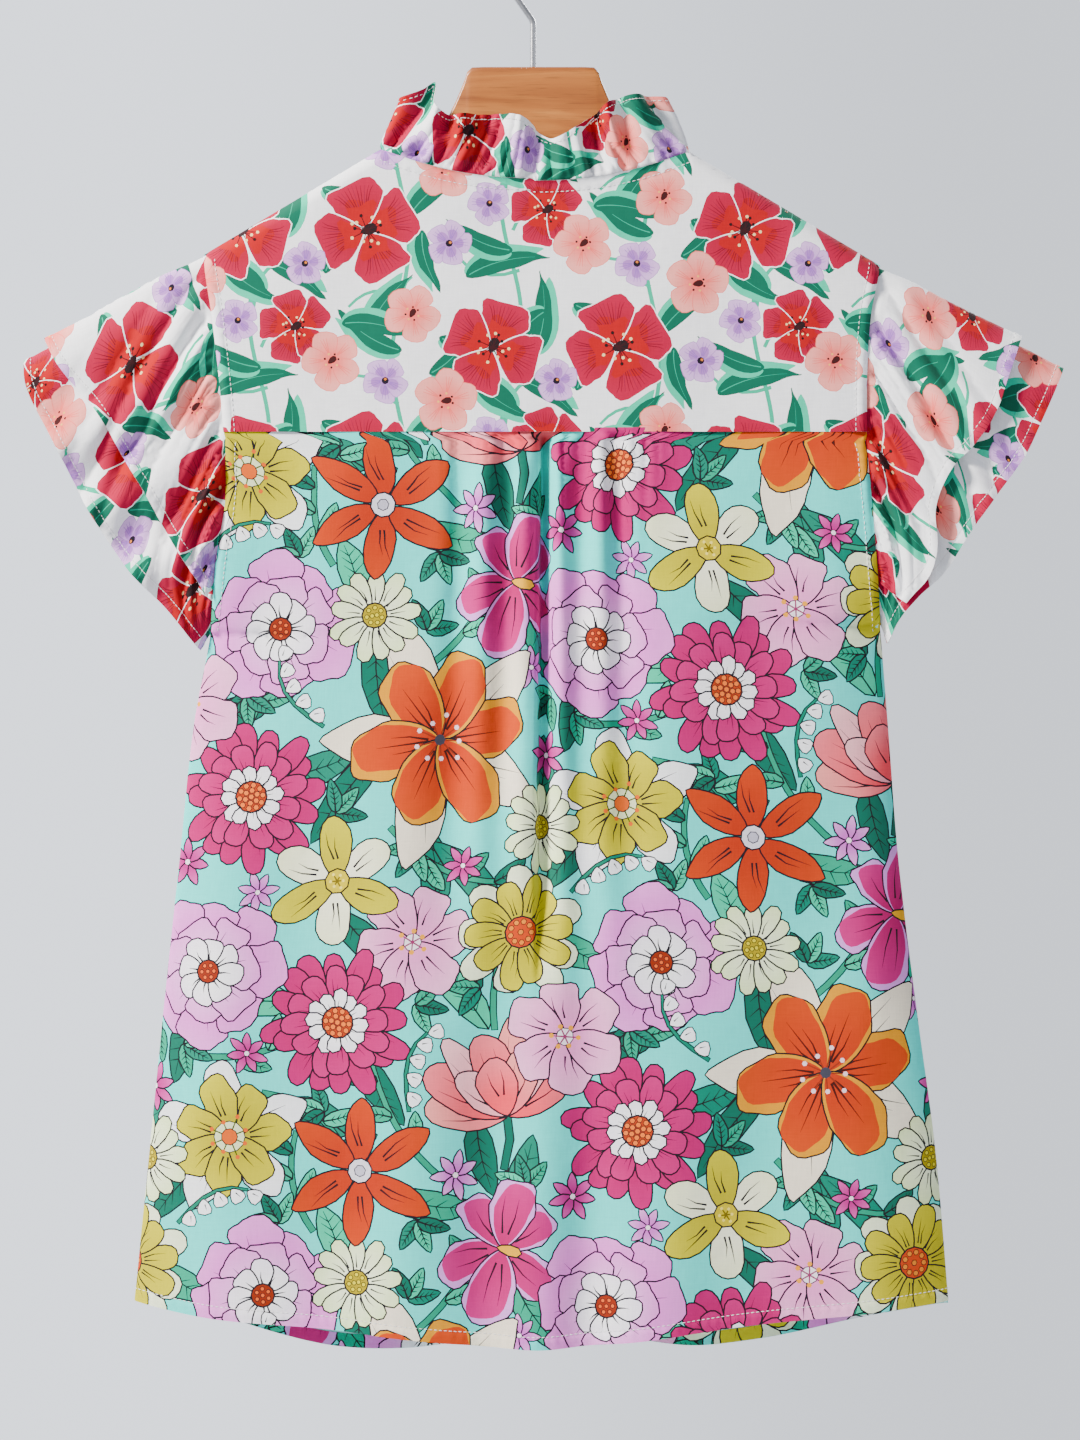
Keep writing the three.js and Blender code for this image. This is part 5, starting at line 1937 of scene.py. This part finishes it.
def select_points(piece, test):
    """In edit mode, select the points that pass a test on their place in millimetres."""
    bpy.ops.mesh.select_all(action="DESELECT")
    bpy.ops.object.mode_set(mode="OBJECT")
    for vertex in piece.data.vertices:
        vertex.select = bool(test(piece.matrix_world @ vertex.co / MM))
    bpy.ops.object.mode_set(mode="EDIT")


# %% Build the hanger
bpy.ops.object.select_all(action="DESELECT")
block_middle = (NECK_BLOCK / 2, 0, (board_bottom(0) + NECK_TOP) / 2)
bpy.ops.mesh.primitive_cube_add(
    size=MM,
    location=[v * MM for v in block_middle],
    scale=(NECK_BLOCK, BOARD["thickness"], NECK_TOP - board_bottom(0)),
)
board = bpy.context.object
board.name = "hanger_board"
bpy.ops.object.transform_apply(location=True, rotation=True, scale=True)
bpy.ops.object.mode_set(mode="EDIT")
bpy.context.tool_settings.mesh_select_mode = (True, False, False)
select_points(board, lambda p: p.x > 1 and p.z < -120)
bpy.ops.transform.translate(value=(0, 0, (board_bottom(NECK_BLOCK) - board_bottom(0)) * MM))
x, top, low = NECK_BLOCK, NECK_TOP, board_bottom(NECK_BLOCK)
for next_x, next_top in ARM_TOP:
    select_points(board, lambda p: p.x > x - 0.01)
    step = (next_x - x, 0, next_top - top)
    bpy.ops.mesh.extrude_region_move(TRANSFORM_OT_translate={"value": [v * MM for v in step]})
    middle = (next_top + low + next_top - top) / 2
    select_points(board, lambda p: p.x > next_x - 0.01 and p.z < middle)
    drop = board_bottom(next_x) - (low + next_top - top)
    bpy.ops.transform.translate(value=(0, 0, drop * MM))
    x, top, low = next_x, next_top, board_bottom(next_x)
select_points(board, lambda p: p.x < 0.01)
bpy.ops.mesh.delete(type="ONLY_FACE")
bpy.ops.object.mode_set(mode="OBJECT")
mirror = board.modifiers.new("other half", "MIRROR")
mirror.merge_threshold = 0.00005
bevel = board.modifiers.new("rounded edges", "BEVEL")
bevel.width, bevel.segments = BOARD["rounding"] * MM, 5
bevel.limit_method, bevel.angle_limit = "ANGLE", 0.9
apply_modifiers(board)
bpy.ops.object.shade_smooth_by_angle(angle=0.7)


def box_of(piece):
    """Lowest and highest corner of a mesh, in millimetres."""
    points = np.array([v.co[:] for v in piece.data.vertices]) / MM
    return points.min(axis=0).round(1).tolist(), points.max(axis=0).round(1).tolist()


print("hanger", box_of(board))

# %% [markdown]
# The hanger is varnished beech or lotus wood: a honey colour with darker fibres that run along
# the arms, short dark pores, and a satin varnish. The fibres are noise drawn out along X.

# %% Varnished wood
wood, tree, shader = new_material("honey beech, satin varnish")
coord = add_node(tree, "ShaderNodeTexCoord")
place = coord.outputs["Object"]
along = add_node(tree, "ShaderNodeMapping", {"Vector": place, "Scale": (9.0, 110.0, 110.0)})
fibres = {"Vector": along.outputs["Vector"], "Scale": 1.0, "Detail": 4.0, "Distortion": 0.6}
bands = add_node(tree, "ShaderNodeTexNoise", fibres)
ramp = add_node(tree, "ShaderNodeValToRGB", {"Fac": bands.outputs["Fac"]})
ramp.color_ramp.elements[0].position, ramp.color_ramp.elements[0].color = 0.32, hex_colour("8C4A15")
ramp.color_ramp.elements[1].position, ramp.color_ramp.elements[1].color = 0.7, hex_colour("BD7730")
ramp.color_ramp.elements.new(0.5).color = hex_colour("A55F20")
narrow = add_node(tree, "ShaderNodeMapping", {"Vector": place, "Scale": (60.0, 900.0, 1400.0)})
short = {"Vector": narrow.outputs["Vector"], "Scale": 1.0, "Detail": 2.0}
pores = add_node(tree, "ShaderNodeTexNoise", short).outputs["Fac"]
dark = {"Value": pores, "From Min": 0.3, "From Max": 0.42, "To Min": 0.72, "To Max": 1.0}
marks = add_node(tree, "ShaderNodeMapRange", dark).outputs["Result"]
layers = {"Factor": 1.0, "A": ramp.outputs["Color"], "B": marks}
grain = add_node(tree, "ShaderNodeMix", layers, data_type="RGBA", blend_type="MULTIPLY")
tree.links.new(grain.outputs["Result"], shader.inputs["Base Color"])
dent = add_node(tree, "ShaderNodeBump", {"Strength": 0.15, "Distance": 0.0003, "Height": marks})
tree.links.new(dent.outputs["Normal"], shader.inputs["Normal"])
shader.inputs["Roughness"].default_value = 0.42
shader.inputs["Coat Weight"].default_value = 0.25
shader.inputs["Coat Roughness"].default_value = 0.25
board.data.materials.append(wood)
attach(board, "root")
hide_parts("hanger_body")

# %% [markdown]
# ## The hook
#
# The hook is a steel wire, 3.8 mm thick, that stands in the neck, leans to one side and curls
# over in a circle. A disc is extruded up the stem, spun round the small bend, extruded along the
# lean, and spun round the large curl. Its end is rounded by two short, shrinking extrusions.

# %% Build the hook
WIRE, STEM_FOOT, KINK_Z, CURL_Z, CURL = 3.8, -88.7, -61.1, -21.1, 23
LEAN = math.asin(CURL / (CURL_Z - KINK_Z))
BEND = 7  # radius of the small bend
TIP = math.radians(35)  # the curl's end lies this far below the level of its middle
trim = BEND * math.tan(LEAN / 2)
lean_length = math.sqrt((CURL_Z - KINK_Z) ** 2 - CURL**2) - trim
sweep_angle = math.pi + LEAN + TIP


def push(x, z):
    """Extrude the selected end of the wire by a step in millimetres."""
    bpy.ops.mesh.extrude_region_move(TRANSFORM_OT_translate={"value": (x * MM, 0, z * MM)})


bpy.ops.object.select_all(action="DESELECT")
bpy.ops.mesh.primitive_circle_add(
    vertices=24, radius=WIRE / 2 * MM, fill_type="NGON", location=(0, 0, STEM_FOOT * MM)
)
hook = bpy.context.object
hook.name = "hook_wire"
bpy.ops.object.transform_apply(location=True, rotation=True, scale=True)
bpy.ops.object.mode_set(mode="EDIT")
bpy.ops.mesh.select_all(action="SELECT")
push(0, KINK_Z - trim - STEM_FOOT)
bend_middle = (-BEND * MM, 0, (KINK_Z - trim) * MM)
bpy.ops.mesh.spin(steps=8, angle=LEAN, center=bend_middle, axis=(0, 1, 0))
push(-math.sin(LEAN) * lean_length, math.cos(LEAN) * lean_length)
bpy.ops.mesh.spin(steps=64, angle=-sweep_angle, center=(0, 0, CURL_Z * MM), axis=(0, 1, 0))
end = Vector((CURL * math.cos(-TIP), 0, CURL_Z + CURL * math.sin(-TIP)))
way = Vector((math.sin(-TIP), 0, -math.cos(-TIP)))
for step, shrink in ((0.9, 0.88), (0.7, 0.66), (0.3, 0.5)):
    push(way.x * step, way.z * step)
    end += way * step
    bpy.ops.transform.resize(value=(shrink,) * 3, center_override=[v * MM for v in end])
bpy.ops.mesh.select_all(action="SELECT")
bpy.ops.mesh.remove_doubles(threshold=0.00001)
bpy.ops.mesh.normals_make_consistent(inside=False)
bpy.ops.object.mode_set(mode="OBJECT")
bpy.ops.object.shade_smooth_by_angle(angle=0.9)
frame_hook = [[round(v / MM, 1) for v in corner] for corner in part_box("hanger_hook")]
print("hook", box_of(hook), "frame's hook", frame_hook)

# %% [markdown]
# The wire is satin nickel on steel: it mirrors the room softly, with fine drawing lines along
# its length. A metal keeps the default IOR, and its colour is the colour of its reflections.

# %% Nickel-plated steel
nickel, tree, shader = new_material("satin nickel plated steel")
coord = add_node(tree, "ShaderNodeTexCoord")
drawn = {"Vector": coord.outputs["Object"], "Scale": 700.0, "Detail": 3.0}
lines = add_node(tree, "ShaderNodeTexNoise", drawn).outputs["Fac"]
worn = add_node(tree, "ShaderNodeMapRange", {"Value": lines, "To Min": 0.2, "To Max": 0.34})
tree.links.new(worn.outputs["Result"], shader.inputs["Roughness"])
tone = add_node(tree, "ShaderNodeValToRGB", {"Fac": lines})
tone.color_ramp.elements[0].color = hex_colour("B4B4B8")
tone.color_ramp.elements[1].color = hex_colour("D3D2D2")
tree.links.new(tone.outputs["Color"], shader.inputs["Base Color"])
dent = add_node(tree, "ShaderNodeBump", {"Strength": 0.05, "Distance": 0.0002, "Height": lines})
tree.links.new(dent.outputs["Normal"], shader.inputs["Normal"])
shader.inputs["Metallic"].default_value = 1.0
hook.data.materials.append(nickel)
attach(hook, "root")
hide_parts("hanger_hook")

# %% [markdown]
# ## Finish
#
# The triangles of all the shown pieces are counted.

# %% Count the triangles and finish
triangles = sum(len(p.vertices) - 2 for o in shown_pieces() if o.type == "MESH" for p in o.data.polygons)
print("triangles in all", triangles)
